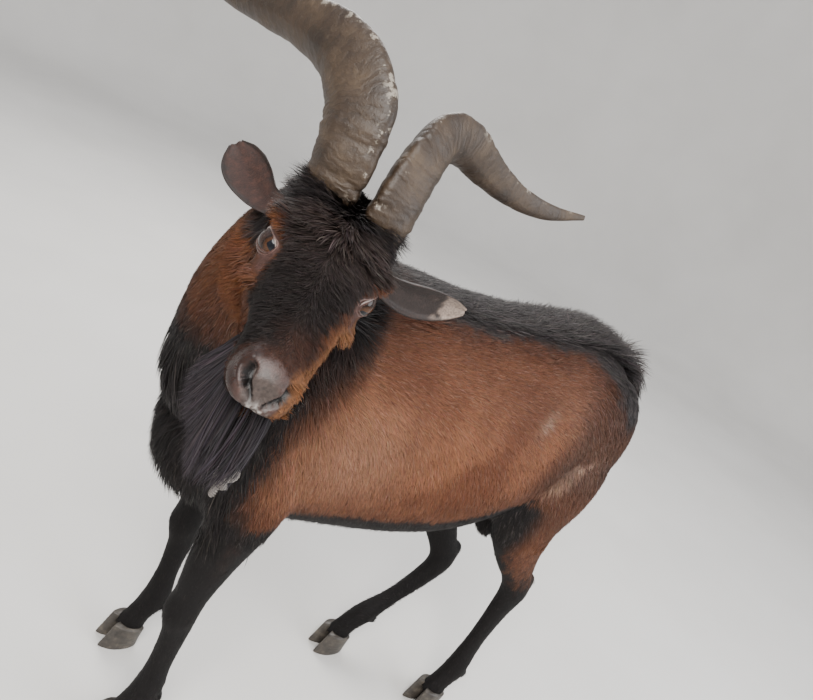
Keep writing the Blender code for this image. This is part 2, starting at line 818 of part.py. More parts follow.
def mouth_cutter(head):
    """A wedge that follows the lips round the muzzle and cuts the mouth's line."""
    tree = surface_tree(head)
    centre = (0.238, 0.0, -0.0985)
    steps = 17
    up = head_direction(0, 0, 1)
    rings = []
    for i in range(steps):
        turn = math.radians(-112 + 224 * i / (steps - 1))
        away = head_direction(math.cos(turn) * 1.0, math.sin(turn) * 0.62, 0)
        back = 0.055 * max(0.0, abs(turn) - 1.1) / 0.85
        rise = 0.006 * max(0.0, abs(turn) - 1.1) / 0.85
        start = on_head(centre[0] - back, 0, centre[2] + rise)
        hit, _, _, _ = tree.ray_cast(start + away * 0.12, -away)
        ring = [hit + away * 0.006 + up * 0.0016, hit - away * 0.0045 + up * 0.0004]
        ring += [hit - away * 0.0045 - up * 0.0004, hit + away * 0.006 - up * 0.0016]
        rings.append(ring)
    return skin_rings("mouth", rings)


# Half length, half width and depth of a nostril
NOSTRIL_SIZE = (0.0085, 0.0034, 0.010)


def nostril_cutters():
    made = []
    for side in HEAD_SIDES:
        slope = (head_direction(0.55, 0.42 * side, 0.55), head_direction(0, 0.85 * side, -0.50))
        out = slope[0].cross(slope[1]).normalized()
        rise = out.cross(slope[1]).normalized()
        place = on_head(0.277, 0.0165 * side, -0.072)
        made.append(egg("nostril", place, (slope[1].normalized(), rise, out), NOSTRIL_SIZE, 8, 10))
    return made


# Each horn's middle line in the head's frame: forward, left, up, half depth, half width
HORNS = {
    HEAD_LEFT: (
        (0.034, 0.036, -0.022, 0.034, 0.024),
        (0.031, 0.036, 0.024, 0.036, 0.025),
        (0.019, 0.034, 0.054, 0.036, 0.025),
        (-0.004, 0.036, 0.083, 0.035, 0.024),
        (-0.036, 0.044, 0.108, 0.034, 0.022),
        (-0.072, 0.074, 0.111, 0.029, 0.019),
        (-0.108, 0.123, 0.095, 0.023, 0.0155),
        (-0.142, 0.177, 0.084, 0.018, 0.0125),
        (-0.172, 0.233, 0.086, 0.013, 0.0095),
        (-0.196, 0.287, 0.104, 0.004, 0.0035),
    ),
    HEAD_RIGHT: (
        (0.029, -0.029, -0.026, 0.035, 0.026),
        (0.026, -0.030, 0.017, 0.038, 0.029),
        (0.016, -0.036, 0.056, 0.043, 0.032),
        (-0.008, -0.050, 0.094, 0.048, 0.033),
        (-0.046, -0.089, 0.117, 0.042, 0.028),
        (-0.087, -0.142, 0.112, 0.031, 0.021),
        (-0.130, -0.193, 0.094, 0.024, 0.016),
        (-0.171, -0.240, 0.077, 0.018, 0.0125),
        (-0.210, -0.283, 0.068, 0.012, 0.009),
        (-0.234, -0.316, 0.076, 0.004, 0.0035),
    ),
}
HORN_RINGS = 40
HORN_SIDES = 10
KEEL_PINCH = 0.42


def horn(side):
    """A ringed horn with its keel turned to the midline. It grows thinner and twists outward."""
    read = smooth_rows(HORNS[side], HORN_RINGS)
    centres = [on_head(*r[:3]) for r in read]
    made = []
    for i, row in enumerate(read):
        way = i / (HORN_RINGS - 1)
        along = (centres[min(i + 1, HORN_RINGS - 1)] - centres[max(i - 1, 0)]).normalized()
        keel = head_direction(0.70 - 0.35 * way, -0.62 * side * (1 - way), 0.10 + 1.1 * way)
        keel = (keel - along * keel.dot(along)).normalized()
        flat = along.cross(keel)
        ridge = 1 + HORN_RIDGE_HEIGHT * (1 - 0.6 * way) * math.cos(2 * math.pi * HORN_RIDGES * way**0.85)
        ring = []
        for step in range(HORN_SIDES):
            angle = 2 * math.pi * step / HORN_SIDES
            c, s = math.cos(angle), math.sin(angle)
            narrow = 1 - KEEL_PINCH * max(0.0, c)
            deep, wide = c * row[3] * HEAD_SCALE * ridge, s * narrow * row[4] * HEAD_SCALE * ridge
            ring.append(centres[i] + keel * deep + flat * wide)
        made.append(ring)
    return skin_rings(f"horn_{HEAD_SIDES[side]}", made)


# Each ear's middle line in the head's frame: forward, left, up, half width, depth of the cup
EARS = {
    HEAD_LEFT: (
        (-0.006, 0.054, -0.054, 0.0130, 0.0),
        (-0.003, 0.082, -0.060, 0.0165, 0.004),
        (-0.003, 0.106, -0.061, 0.0220, 0.011),
        (-0.008, 0.130, -0.059, 0.0260, 0.012),
        (-0.016, 0.154, -0.054, 0.0240, 0.010),
        (-0.024, 0.175, -0.048, 0.0170, 0.006),
        (-0.030, 0.191, -0.043, 0.0060, 0.001),
    ),
    HEAD_RIGHT: (
        (-0.002, -0.052, -0.050, 0.0130, 0.0),
        (-0.009, -0.075, -0.054, 0.0160, 0.004),
        (-0.024, -0.090, -0.057, 0.0215, 0.010),
        (-0.043, -0.106, -0.057, 0.0265, 0.012),
        (-0.064, -0.121, -0.057, 0.0275, 0.010),
        (-0.085, -0.134, -0.055, 0.0215, 0.006),
        (-0.101, -0.144, -0.053, 0.0085, 0.001),
    ),
}
# The way that each ear's hollow faces
EAR_OPENS = {HEAD_LEFT: (0.88, 0.02, -0.22), HEAD_RIGHT: (0.90, 0.0, 0.30)}
EAR_RINGS = 13
HOLLOW_WIDTH = 0.86
EAR_THICKNESS = 0.0042


def ear(side):
    """A cupped leaf whose root sits in the head."""
    read = smooth_rows(EARS[side], EAR_RINGS)
    centres = [on_head(*r[:3]) for r in read]
    made = []
    half = 6
    for i, row in enumerate(read):
        along = (centres[min(i + 1, EAR_RINGS - 1)] - centres[max(i - 1, 0)]).normalized()
        opens = head_direction(*EAR_OPENS[side])
        opens = (opens - along * opens.dot(along)).normalized()
        wide = along.cross(opens)
        width, cup = max(row[3], 0.003) * HEAD_SCALE, max(row[4], 0.0)
        solid = max(EAR_THICKNESS, 0.016 * (1 - i / 3.5))
        ring = []
        for j in range(half):
            angle = math.radians(-90 + 180 * j / (half - 1))
            deep = math.cos(angle) * (cup + solid)
            ring.append(centres[i] + wide * (math.sin(angle) * width) - opens * deep)
        for j in range(half - 2, 0, -1):
            angle = math.radians(-90 + 180 * j / (half - 1))
            deep = math.cos(angle) * cup
            ring.append(centres[i] + wide * (math.sin(angle) * width * HOLLOW_WIDTH) - opens * deep)
        made.append(ring)
    return skin_rings(f"ear_{HEAD_SIDES[side]}", made)


# Three points that the rope's loop passes: the withers, before the left shoulder, and the chest's right
COLLAR_POINTS = (
    Vector((-0.200, 0.0, 0.860)),
    Vector((-0.318, -0.130, 0.572)),
    Vector((-0.335, 0.095, 0.610)),
)


def ring_round(tree, steps, lift):
    """Points round the base of the neck where the loop's plane meets its surface, lifted off it by lift."""
    back, left, right = COLLAR_POINTS
    centre = (back + left + right) / 3
    normal = (left - back).cross(right - back).normalized()
    first = (back - centre).normalized()
    second = normal.cross(first)
    points = []
    for i in range(steps):
        angle = 2 * math.pi * i / steps
        away = first * math.cos(angle) + second * math.sin(angle)
        hit, _, _, _ = tree.ray_cast(centre, away)
        points.append(hit + away * lift)
    smooth = points
    for _ in range(3):
        smooth = [(smooth[i - 1] + smooth[i] * 2 + smooth[(i + 1) % steps]) / 4 for i in range(steps)]
    return smooth, normal


def closed_tube(name, points, radius, sides, normal):
    """A ring of rope through the points."""
    count = len(points)
    made = []
    for i in range(count):
        along = (points[(i + 1) % count] - points[i - 1]).normalized()
        out = along.cross(normal).normalized()
        up = out.cross(along)
        made.append(oval_ring(points[i], out, up, radius, radius, radius, sides))
    flat = [p for ring in made for p in ring]
    faces = []
    for i in range(count):
        for j in range(sides):
            k, n = (j + 1) % sides, (i + 1) % count
            faces.append((i * sides + j, i * sides + k, n * sides + k, n * sides + j))
    return mesh_object(name, flat, faces)


def collar(tree):
    """The rope's loop, half sunk in the hair, and the knot that it is tied in."""
    points, normal = ring_round(tree, COLLAR_STEPS, ROPE_RADIUS * 0.4)
    rope = closed_tube("collar", points, ROPE_RADIUS, ROPE_SIDES, normal)
    place = min(points, key=lambda p: (p - COLLAR_POINTS[1]).length)
    away = (place - sum(points, Vector()) / len(points)).normalized()
    along = away.cross(normal).normalized()
    middle = place + away * (ROPE_RADIUS * 1.4)
    knot = egg("knot", middle, (normal, along, away), (KNOT_SIZE, KNOT_SIZE * 0.85, KNOT_SIZE * 0.8), 8, 10)
    return rope, boolean(knot, "DIFFERENCE", grown(rope, CLEARANCE))


def lock(points, widths, faces, thickness):
    """A flat, tapered lock through the points, with its flat sides turned along faces."""
    made = []
    last = len(points) - 1
    for i, point in enumerate(points):
        along = (points[min(i + 1, last)] - points[max(i - 1, 0)]).normalized()
        face = (faces[i] - along * faces[i].dot(along)).normalized()
        across = along.cross(face)
        half, thin = widths[i] / 2, thickness * max(0.25, widths[i] / widths[1]) / 2
        ring = [point + across * half, point + face * thin, point - across * half, point - face * thin]
        made.append(ring)
    return skin_rings("lock", made)


LOCK_TAPER = (0.75, 1.0, 0.78, 0.16)


def lying_lock(tree, root, flow, length, width, thickness, lifts):
    """A lock that lies along the coat. lifts are its heights over the flesh, from root to tip."""
    points, faces = [], []
    point = Vector(root)
    step = length / (len(lifts) - 1)
    for i, lift in enumerate(lifts):
        nearest, normal, _, _ = tree.find_nearest(point)
        points.append(nearest + normal * lift)
        faces.append(normal)
        way = flow - normal * flow.dot(normal)
        point = nearest + way.normalized() * step
    return lock(points, [width * taper for taper in LOCK_TAPER], faces, thickness)


def nearest_out(tree, inside, way):
    """Where the flesh ends on the way out from a point inside it."""
    hit, _, _, _ = tree.ray_cast(inside, way.normalized())
    return hit


def back_locks(tree, chance):
    """The black crest that runs along the back, in three staggered rows."""
    made = []
    for row, aside in enumerate((-0.020, 0.0, 0.020)):
        for i in range(BACK_LOCKS):
            way = (i + row * 0.33 + chance.uniform(-0.15, 0.15)) / BACK_LOCKS
            x = BACK_START + (BACK_END - BACK_START) * way
            root = nearest_out(tree, Vector((x, aside, 0.70)), WORLD_AXES[2])
            flow = Vector((1, chance.uniform(-0.25, 0.25) + aside * 9, 0))
            high = CREST_HEIGHT * (1.0 if row == 1 else 0.72) * chance.uniform(0.85, 1.1)
            lifts = (-0.010, high * 0.55, high * 0.95, high)
            made.append(lying_lock(tree, root, flow, chance.uniform(0.062, 0.078), 0.024, 0.009, lifts))
    return made


def mane_locks(tree, chance):
    """Locks down the nape, the sides of the neck and the throat. Those of the throat are the longest."""
    made = []
    frames = neck_frames()
    for spot, turns in MANE_RINGS:
        centre, left, nape, _ = frames[spot]
        down = (frames[spot - 2][0] - centre).normalized()
        for turn in turns:
            angle = math.radians(turn + chance.uniform(-6, 6))
            root = nearest_out(tree, centre, nape * math.cos(angle) + left * math.sin(angle))
            throat = abs(turn) > 120
            high = 0.016 if throat else 0.010
            length = 0.085 if throat else 0.058
            lifts = (-0.010, high * 0.5, high * 0.85, high)
            long = length * chance.uniform(0.9, 1.1)
            made.append(lying_lock(tree, root, down, long, 0.026, 0.010, lifts))
    return made


def chest_locks(tree, chance):
    """The black shag that hangs from the chest."""
    made = []
    for z, asides in CHEST_ROWS:
        for aside in asides:
            root = nearest_out(tree, Vector((-0.25, aside * 0.6, z)), Vector((-1, aside * 4, 0)))
            lifts = (-0.010, 0.006, 0.014, 0.020)
            length = 0.085 * chance.uniform(0.9, 1.1)
            made.append(lying_lock(tree, root, Vector((0, 0, -1)), length, 0.028, 0.011, lifts))
    return made


def belly_locks(tree, chance):
    """A fringe along the middle of the belly."""
    made = []
    for i in range(BELLY_LOCKS):
        x = -0.13 + 0.30 * i / (BELLY_LOCKS - 1)
        aside = 0.022 * (-1) ** i
        root = nearest_out(tree, Vector((x, aside, 0.55)), Vector((0, 0, -1)))
        lifts = (-0.010, 0.005, 0.010, 0.014)
        length = 0.070 * chance.uniform(0.9, 1.1)
        made.append(lying_lock(tree, root, Vector((1, aside * 6, 0)), length, 0.026, 0.010, lifts))
    return made


def tail_locks(chance):
    """The brush of the tail, that fans down over its sides."""
    made = []
    rows = smooth_rows(TAIL, 9)
    for i in range(TAIL_LOCKS):
        x, y, z = rows[3 + i % 5][:3]
        side = (i % 3) - 1
        out = Vector((0.55 if side else 1.0, 0.8 * side, 0)).normalized()
        root = Vector((x, y, z)) + Vector((0, side * 0.010, 0))
        length = 0.062 * chance.uniform(0.85, 1.1)
        points = [root]
        for t, spread in ((0.33, 0.013), (0.66, 0.018), (1.0, 0.014)):
            points.append(root + out * spread + Vector((0, 0, -length * t)))
        made.append(lock(points, [0.022 * taper for taper in LOCK_TAPER], [out] * 4, 0.009))
    return made


def beard_locks(chance):
    """A broad, straight beard: rows of long locks that hang from the chin and spread a little."""
    made = []
    for row, (place, count, length) in enumerate(BEARD_ROWS):
        for i in range(count):
            aside = (i / (count - 1) - 0.5) * 2
            root = on_head(place + chance.uniform(-0.003, 0.003), aside * 0.014, -0.112)
            sideways = head_direction(0, 1, 0) * aside
            ahead = head_direction(1, 0, 0) * (0.5 - row * 0.33)
            long = length * (1 - 0.22 * aside * aside) * chance.uniform(0.92, 1.05)
            points = [root]
            for t in (0.33, 0.68, 1.0):
                spread = BEARD_SPREAD * math.sin(t * 1.9)
                wave = chance.uniform(-0.002, 0.002)
                fall = Vector((0, 0, -long * t))
                points.append(root + sideways * (spread + wave) + ahead * (spread * 0.45) + fall)
            face = (head_direction(1, 0, 0) + sideways * 0.6).normalized()
            made.append(lock(points, [0.028 * taper for taper in LOCK_TAPER], [face] * 4, 0.017))
    return made


def face_locks(tree, chance):
    """The shag between and before the horns, and the fringe under the jaw."""
    made = []
    for forward, asides in FORELOCK_ROWS:
        for aside in asides:
            root = nearest_out(tree, on_head(forward, aside * 0.6, -0.05), head_direction(0, aside * 8, 1))
            flow = head_direction(1, aside * 9 + chance.uniform(-0.2, 0.2), -0.1)
            lifts = (-0.008, 0.005, 0.009, 0.011)
            made.append(lying_lock(tree, root, flow, 0.048 * chance.uniform(0.85, 1.1), 0.020, 0.008, lifts))
    for side in HEAD_SIDES:
        for i in range(JAW_LOCKS):
            forward = 0.035 + 0.026 * i
            inside = on_head(forward, 0.012 * side, -0.11)
            root = nearest_out(tree, inside, head_direction(0, 0.5 * side, -1))
            flow = head_direction(-1, 0.2 * side, -0.5)
            lifts = (-0.008, 0.006, 0.011, 0.015)
            made.append(lying_lock(tree, root, flow, 0.046 * chance.uniform(0.9, 1.1), 0.020, 0.008, lifts))
    return made


def shade(obj, angle=40):
    mesh = obj.data
    mesh.shade_smooth()
    mesh.set_sharp_from_angle(angle=math.radians(angle))


def material(name, colour, roughness):
    made = bpy.data.materials.new(name)
    made.use_nodes = True
    look = made.node_tree.nodes["Principled BSDF"]
    look.inputs["Base Color"].default_value = (*colour, 1)
    look.inputs["Roughness"].default_value = roughness
    look.inputs["Metallic"].default_value = 0
    return made


def finish(obj, name, look):
    """Names the node, closes its tiny edges and gives it its material."""
    obj.name = name
    obj.data.name = name
    shell = bmesh.new()
    shell.from_mesh(obj.data)
    bmesh.ops.triangulate(shell, faces=shell.faces)
    bmesh.ops.recalc_face_normals(shell, faces=shell.faces)
    shell.to_mesh(obj.data)
    shell.free()
    shade(obj)
    obj.data.materials.clear()
    obj.data.materials.append(look)


def stand_in_the_middle(objects):
    """Moves everything so that the model's box is centred over the origin."""
    corners = np.array([tuple(v.co) for o in objects for v in o.data.vertices])
    low, high = corners.min(axis=0), corners.max(axis=0)
    shift = Matrix.Translation((-(low[0] + high[0]) / 2, -(low[1] + high[1]) / 2, 0))
    for obj in objects:
        obj.data.transform(shift)
    return shift.to_translation()


def main():
    clear_scene()
    coat = material("chamois_coat", (0.25, 0.10, 0.05), 0.75)
    dark_coat = material("black_coat", (0.02, 0.016, 0.014), 0.75)
    horn_look = material("horn", (0.16, 0.12, 0.09), 0.55)
    hoof_look = material("hoof", (0.05, 0.045, 0.04), 0.5)
    eye_look = material("eye", (0.30, 0.16, 0.06), 0.15)
    rope_look = material("rope", (0.35, 0.33, 0.30), 0.85)
    flesh = fuse_flesh(flesh_pieces())
    tree = surface_tree(flesh)
    chance = random.Random(7)
    locks = back_locks(tree, chance) + mane_locks(tree, chance) + chest_locks(tree, chance)
    locks += belly_locks(tree, chance) + tail_locks(chance)
    nodes = part_body(flesh, locks)
    head = part_head(flesh)
    bpy.data.objects.remove(flesh, do_unlink=True)
    head = eyelids(head)
    for cutter in [mouth_cutter(head), *nostril_cutters()]:
        head = boolean(head, "DIFFERENCE", cutter, FLESH_SOLVER)
    head_locks = beard_locks(chance) + face_locks(tree, chance)
    head = keep_largest(fuse(keep_largest(head), head_locks, FLESH_SOLVER))
    head = boolean(head, "DIFFERENCE", behind_head_block(GAP / 2), FLESH_SOLVER)
    pieces = {}
    for side in HEAD_SIDES:
        for grow in (horn, ear):
            piece = grow(side)
            head = cleared(head, piece)
            for name in ("neck", "trunk"):
                nodes[name] = keep_largest(cleared(nodes[name], piece))
            pieces[piece.name] = piece
        pieces[f"eye_{HEAD_SIDES[side]}"] = eyeball(side)
    head = keep_largest(head)
    for hoof in hooves():
        pieces[hoof.name] = hoof
    rope, knot = collar(tree)
    for name in ("neck", "trunk"):
        for worn in (rope, knot):
            nodes[name] = keep_largest(cleared(nodes[name], worn))
    for name, rows in LEG_ROWS.items():
        lower = fuse(nodes[name + "_lower"], dewclaws(rows))
        nodes[name + "_lower"] = keep_largest(lower)
    finish(head, "head", dark_coat)
    finish(rope, "collar", rope_look)
    finish(keep_largest(knot), "collar_knot", rope_look)
    for name, obj in nodes.items():
        finish(obj, name, dark_coat if name.endswith("lower") or name == "tail" else coat)
    for name, obj in pieces.items():
        look = {"horn": horn_look, "claw": hoof_look, "eye": eye_look}.get(name.split("_")[0], dark_coat)
        finish(obj, name, look)
    everything = [head, rope, knot, *nodes.values(), *pieces.values()]
    stand_in_the_middle(everything)
    return everything


main()
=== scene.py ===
# %% [markdown]
# # An alpine buck, life size
# The goat stands still with its head turned to its left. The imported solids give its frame: every
# piece below is drawn in that frame, in metres, and rides on it. The order is camera and studio,
# skin, eyes, horns, ears, hooves, rope, and at the end the coat, which is most of the work.

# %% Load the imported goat
import math

import bmesh
import bpy
import numpy as np
from mathutils import Matrix, Vector
from mathutils.bvhtree import BVHTree
from mathutils.kdtree import KDTree


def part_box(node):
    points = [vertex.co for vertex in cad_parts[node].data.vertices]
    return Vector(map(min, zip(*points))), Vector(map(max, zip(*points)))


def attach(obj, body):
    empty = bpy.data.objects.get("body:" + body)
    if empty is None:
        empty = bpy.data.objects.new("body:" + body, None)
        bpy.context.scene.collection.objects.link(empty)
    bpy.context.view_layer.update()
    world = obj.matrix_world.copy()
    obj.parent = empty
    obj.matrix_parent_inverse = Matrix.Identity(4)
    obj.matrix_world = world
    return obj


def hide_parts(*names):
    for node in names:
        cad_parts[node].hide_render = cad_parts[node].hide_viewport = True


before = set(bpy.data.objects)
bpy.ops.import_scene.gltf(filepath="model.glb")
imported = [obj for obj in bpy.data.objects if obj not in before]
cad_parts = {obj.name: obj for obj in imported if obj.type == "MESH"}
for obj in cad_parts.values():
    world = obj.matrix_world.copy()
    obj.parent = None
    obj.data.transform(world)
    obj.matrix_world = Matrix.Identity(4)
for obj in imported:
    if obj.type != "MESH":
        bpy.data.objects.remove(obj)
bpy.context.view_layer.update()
print("the packed goat has", len(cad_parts), "nodes")

# %% [markdown]
# The solids were drawn round the goat's own middle line and then moved so that their box is
# centred. The same rows of sizes are used here, so the move is measured once, at the left eye.

# %% The head's own frame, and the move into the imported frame
POLL = np.array((-0.322, -0.1465, 0.948))
HEAD_AZIMUTH = math.radians(-116.5)
NOSE_BELOW_LEVEL = math.radians(7.0)
HEAD_TILT = math.radians(-9.5)
HEAD_SCALE = 0.97
HEAD_LEFT, HEAD_RIGHT = 1, -1
HEAD_SIDES = {HEAD_LEFT: "left", HEAD_RIGHT: "right"}
EYE_PLACE = (0.112, 0.0505, -0.040)
EYE_LOOKS = {HEAD_LEFT: (0.38, 0.90, 0.16), HEAD_RIGHT: (0.56, -0.80, 0.20)}
SLIT_RUNS = (0.85, -0.50, -0.09)
EYE_RADIUS = 0.0155


def unit(vectors):
    """The vectors at length one, one by one."""
    vectors = np.asarray(vectors, float)
    return vectors / np.maximum(np.linalg.norm(vectors, axis=-1, keepdims=True), 1e-12)


def head_axes():
    """The head's forward, left and up directions, as the columns of a matrix."""
    level = np.array((math.cos(HEAD_AZIMUTH), math.sin(HEAD_AZIMUTH), 0.0))
    forward = level * math.cos(NOSE_BELOW_LEVEL) - np.array((0, 0, math.sin(NOSE_BELOW_LEVEL)))
    left = np.cross((0, 0, 1), level)
    up = np.cross(forward, left)
    turn = np.array(Matrix.Rotation(HEAD_TILT, 3, Vector(forward)))
    return np.stack([forward, turn @ left, turn @ up], axis=1)


HEAD_TURN = head_axes()


def on_head(forward, left, up):
    return POLL + HEAD_TURN @ (np.array((forward, left, up)) * HEAD_SCALE)


def head_direction(forward, left, up):
    return unit(HEAD_TURN @ np.array((forward, left, up), float))


def to_head(points):
    """World points in the head's frame: how far forward, left and up they are."""
    return (points - POLL) @ HEAD_TURN / HEAD_SCALE


def eye_place(side):
    return on_head(EYE_PLACE[0], EYE_PLACE[1] * side, EYE_PLACE[2])


def eye_axes(side):
    """The way the eye looks, the way its slit runs, and the way across the slit."""
    looks = head_direction(*EYE_LOOKS[side])
    slit = head_direction(SLIT_RUNS[0], SLIT_RUNS[1] * side, SLIT_RUNS[2])
    slit = unit(slit - looks * slit.dot(looks))
    return looks, slit, np.cross(looks, slit)


low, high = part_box("eye_left")
MOVE = np.array((low + high) / 2) - eye_place(HEAD_LEFT)
print("the drawing is moved by", MOVE.round(4))

# %% [markdown]
# The photograph looks down on the goat from above its left shoulder, with the camera rolled well
# to one side. The camera's place, turn and lens were worked out from the goat's own landmarks.

# %% Camera
CAMERA_PLACE = Vector((-0.7069, -0.8412, 1.1240)) + Vector(MOVE)
CAMERA_YAW, CAMERA_PITCH, CAMERA_ROLL = -0.6629, 0.3579, 0.4877
PHOTO_WIDTH = 813
FOCAL_PIXELS = 748.479
SENSOR = 36.0

ahead = Vector(
    (
        -math.sin(CAMERA_YAW) * math.cos(CAMERA_PITCH),
        math.cos(CAMERA_YAW) * math.cos(CAMERA_PITCH),
        -math.sin(CAMERA_PITCH),
    )
)
level_right = Vector((math.cos(CAMERA_YAW), math.sin(CAMERA_YAW), 0))
level_up = level_right.cross(ahead)
right = level_right * math.cos(CAMERA_ROLL) + level_up * math.sin(CAMERA_ROLL)
up = level_up * math.cos(CAMERA_ROLL) - level_right * math.sin(CAMERA_ROLL)

bpy.ops.object.select_all(action="DESELECT")
bpy.ops.object.camera_add()
camera = bpy.context.object
camera.name = "camera"
camera.matrix_world = Matrix.Translation(CAMERA_PLACE) @ Matrix((right, up, -ahead)).transposed().to_4x4()
camera.data.sensor_width = SENSOR
camera.data.lens = SENSOR * FOCAL_PIXELS / PHOTO_WIDTH
bpy.context.scene.camera = camera

# %% [markdown]
# The studio is one pale bowl: a round floor whose rim curves up all round, so that no view sees an
# edge. A circle is filled, its rim extruded outwards and upwards in steps, and smoothed.

# %% Floor
FLOOR_RADIUS = 4.5
FLOOR_RIM = ((1.06, 0.08), (1.05, 0.25), (1.03, 0.5), (1.01, 0.9), (1.0, 1.4))

bpy.ops.object.select_all(action="DESELECT")
bpy.ops.mesh.primitive_circle_add(vertices=96, radius=FLOOR_RADIUS, fill_type="NGON")
floor = bpy.context.object
floor.name = "floor"
bpy.ops.object.mode_set(mode="EDIT")
bpy.ops.mesh.select_all(action="SELECT")
bpy.ops.mesh.inset(thickness=0.4)
bpy.ops.mesh.select_all(action="DESELECT")
bpy.ops.mesh.select_mode(type="EDGE")
bpy.ops.mesh.select_non_manifold()
for widen, rise in FLOOR_RIM:
    bpy.ops.mesh.extrude_edges_move(TRANSFORM_OT_translate={"value": (0, 0, rise)})
    bpy.ops.transform.resize(value=(widen, widen, 1), center_override=(0, 0, 0))
bpy.ops.mesh.select_all(action="SELECT")
bpy.ops.mesh.normals_make_consistent(inside=True)
bpy.ops.object.mode_set(mode="OBJECT")
bpy.ops.object.shade_smooth()


# %% Materials start here: a short way to add and link each kind of node
class Wiring:
    """The nodes and links of one material or node group."""

    def __init__(self, tree):
        self.nodes, self.links = tree.nodes, tree.links

    def feed(self, socket, value):
        """Links a socket to its source, or sets a number or colour on the socket itself."""
        if isinstance(value, bpy.types.NodeSocket):
            self.links.new(value, socket)
        elif isinstance(value, (int, float)) or socket.type == "VECTOR":
            socket.default_value = value
        else:
            socket.default_value = (*value, 1)

    def place(self):
        return self.nodes.new("ShaderNodeTexCoord").outputs["Object"]

    def attribute(self, name, output="Color"):
        reader = self.nodes.new("ShaderNodeAttribute")
        reader.attribute_name = name
        return reader.outputs[output]

    def noise(self, vector, scale, detail=4.0, roughness=0.6):
        """A noise that reads the given coordinates."""
        made = self.nodes.new("ShaderNodeTexNoise")
        for name, value in (("Vector", vector), ("Scale", scale), ("Detail", detail), ("Roughness", roughness)):
            self.feed(made.inputs[name], value)
        return made.outputs["Fac"]

    def ramp(self, value, stops):
        """A colour ramp through (position, colour) stops."""
        made = self.nodes.new("ShaderNodeValToRGB")
        elements = made.color_ramp.elements
        while len(elements) < len(stops):
            elements.new(0.5)
        for element, (position, colour) in zip(elements, stops):
            element.position = position
            element.color = (*colour, 1)
        self.feed(made.inputs["Fac"], value)
        return made.outputs["Color"]

    def mask(self, value, start, end):
        """White where the value is past end, black before start."""
        return self.ramp(value, ((start, (0, 0, 0)), (end, (1, 1, 1))))

    def split(self, colour):
        """The three numbers that a colour carries."""
        made = self.nodes.new("ShaderNodeSeparateColor")
        self.feed(made.inputs[0], colour)
        return made.outputs

    def math(self, operation, *values):
        step = self.nodes.new("ShaderNodeMath")
        step.operation = operation
        for socket, value in zip(step.inputs, values):
            self.feed(socket, value)
        return step.outputs[0]

    def tint(self, kind, share, colour, over):
        """Mixes one colour over another. share and over are numbers, colours or sockets."""
        step = self.nodes.new("ShaderNodeMix")
        step.data_type = "RGBA"
        step.blend_type = kind
        for socket, value in ((step.inputs[0], share), (step.inputs[6], colour), (step.inputs[7], over)):
            self.feed(socket, value)
        return step.outputs[2]

    def bump(self, height, strength, distance):
        made = self.nodes.new("ShaderNodeBump")
        for name, value in (("Height", height), ("Strength", strength), ("Distance", distance)):
            self.feed(made.inputs[name], value)
        return made.outputs["Normal"]


def new_material(name):
    """A material, its wiring, and the inputs of its shader."""
    made = bpy.data.materials.new(name)
    made.use_nodes = True
    return made, Wiring(made.node_tree), made.node_tree.nodes["Principled BSDF"].inputs


floor_look, wire, shader = new_material("pale_floor")
place = wire.place()
cloud = wire.noise(place, 1.3, 3.0)
wire.feed(shader["Base Color"], wire.ramp(cloud, ((0.3, (0.60, 0.585, 0.56)), (0.7, (0.66, 0.645, 0.62)))))
wire.feed(shader["Roughness"], 0.9)
floor.data.materials.append(floor_look)


# %% Lights
def area_light(name, place, target, size, power, colour):
    bpy.ops.object.light_add(type="AREA", location=place)
    light = bpy.context.object
    light.name = name
    light.data.shape = "DISK"
    light.data.size = size
    light.data.energy = power
    light.data.color = colour
    light.rotation_mode = "QUATERNION"
    light.rotation_quaternion = (Vector(target) - Vector(place)).to_track_quat("-Z", "Y")
    return light


BODY_MIDDLE = (0.0, 0.0, 0.65)
area_light("key", (-1.5, -1.7, 2.7), BODY_MIDDLE, 1.8, 150, (1.0, 0.975, 0.94))
area_light("fill", (1.9, -1.9, 1.6), BODY_MIDDLE, 2.2, 70, (0.93, 0.96, 1.0))
area_light("back", (0.4, 2.2, 2.4), BODY_MIDDLE, 1.8, 80, (1.0, 0.98, 0.95))
world = bpy.data.worlds.new("studio")
bpy.context.scene.world = world
world.use_nodes = True
world.node_tree.nodes["Background"].inputs["Color"].default_value = (0.93, 0.95, 1.0, 1)
world.node_tree.nodes["Background"].inputs["Strength"].default_value = 1.0

# %% [markdown]
# ## The skin
# Under its hair the goat is one skin. It is drawn from rows of sizes, as the solids are: tubes of
# oval rings for the trunk, neck, legs and head, and round muscles laid in them. A voxel remesh
# fuses everything into one surface, and a smoothing softens it.


# %% Helpers for lofted forms
def smooth_rows(rows, count):
    """count rows read from a Catmull-Rom curve through the given rows."""
    rows = np.array(rows, float)
    padded = np.vstack([2 * rows[0] - rows[1], rows, 2 * rows[-1] - rows[-2]])
    read = []
    for place in np.linspace(0, len(rows) - 1, count):
        i = min(int(place), len(rows) - 2)
        t = place - i
        a, b, c, d = padded[i : i + 4]
        bend = (2 * a - 5 * b + 4 * c - d) * t**2 + (3 * b - a - 3 * c + d) * t**3
        read.append(0.5 * (2 * b + (c - a) * t + bend))
    return np.array(read)


def mesh_from(name, points, faces):
    """An object at the origin with the given points and faces, its faces pointing outwards."""
    mesh = bpy.data.meshes.new(name)
    mesh.from_pydata([tuple(p) for p in points], [], faces)
    obj = bpy.data.objects.new(name, mesh)
    bpy.context.scene.collection.objects.link(obj)
    shell = bmesh.new()
    shell.from_mesh(mesh)
    bmesh.ops.recalc_face_normals(shell, faces=shell.faces)
    shell.to_mesh(mesh)
    shell.free()
    return obj


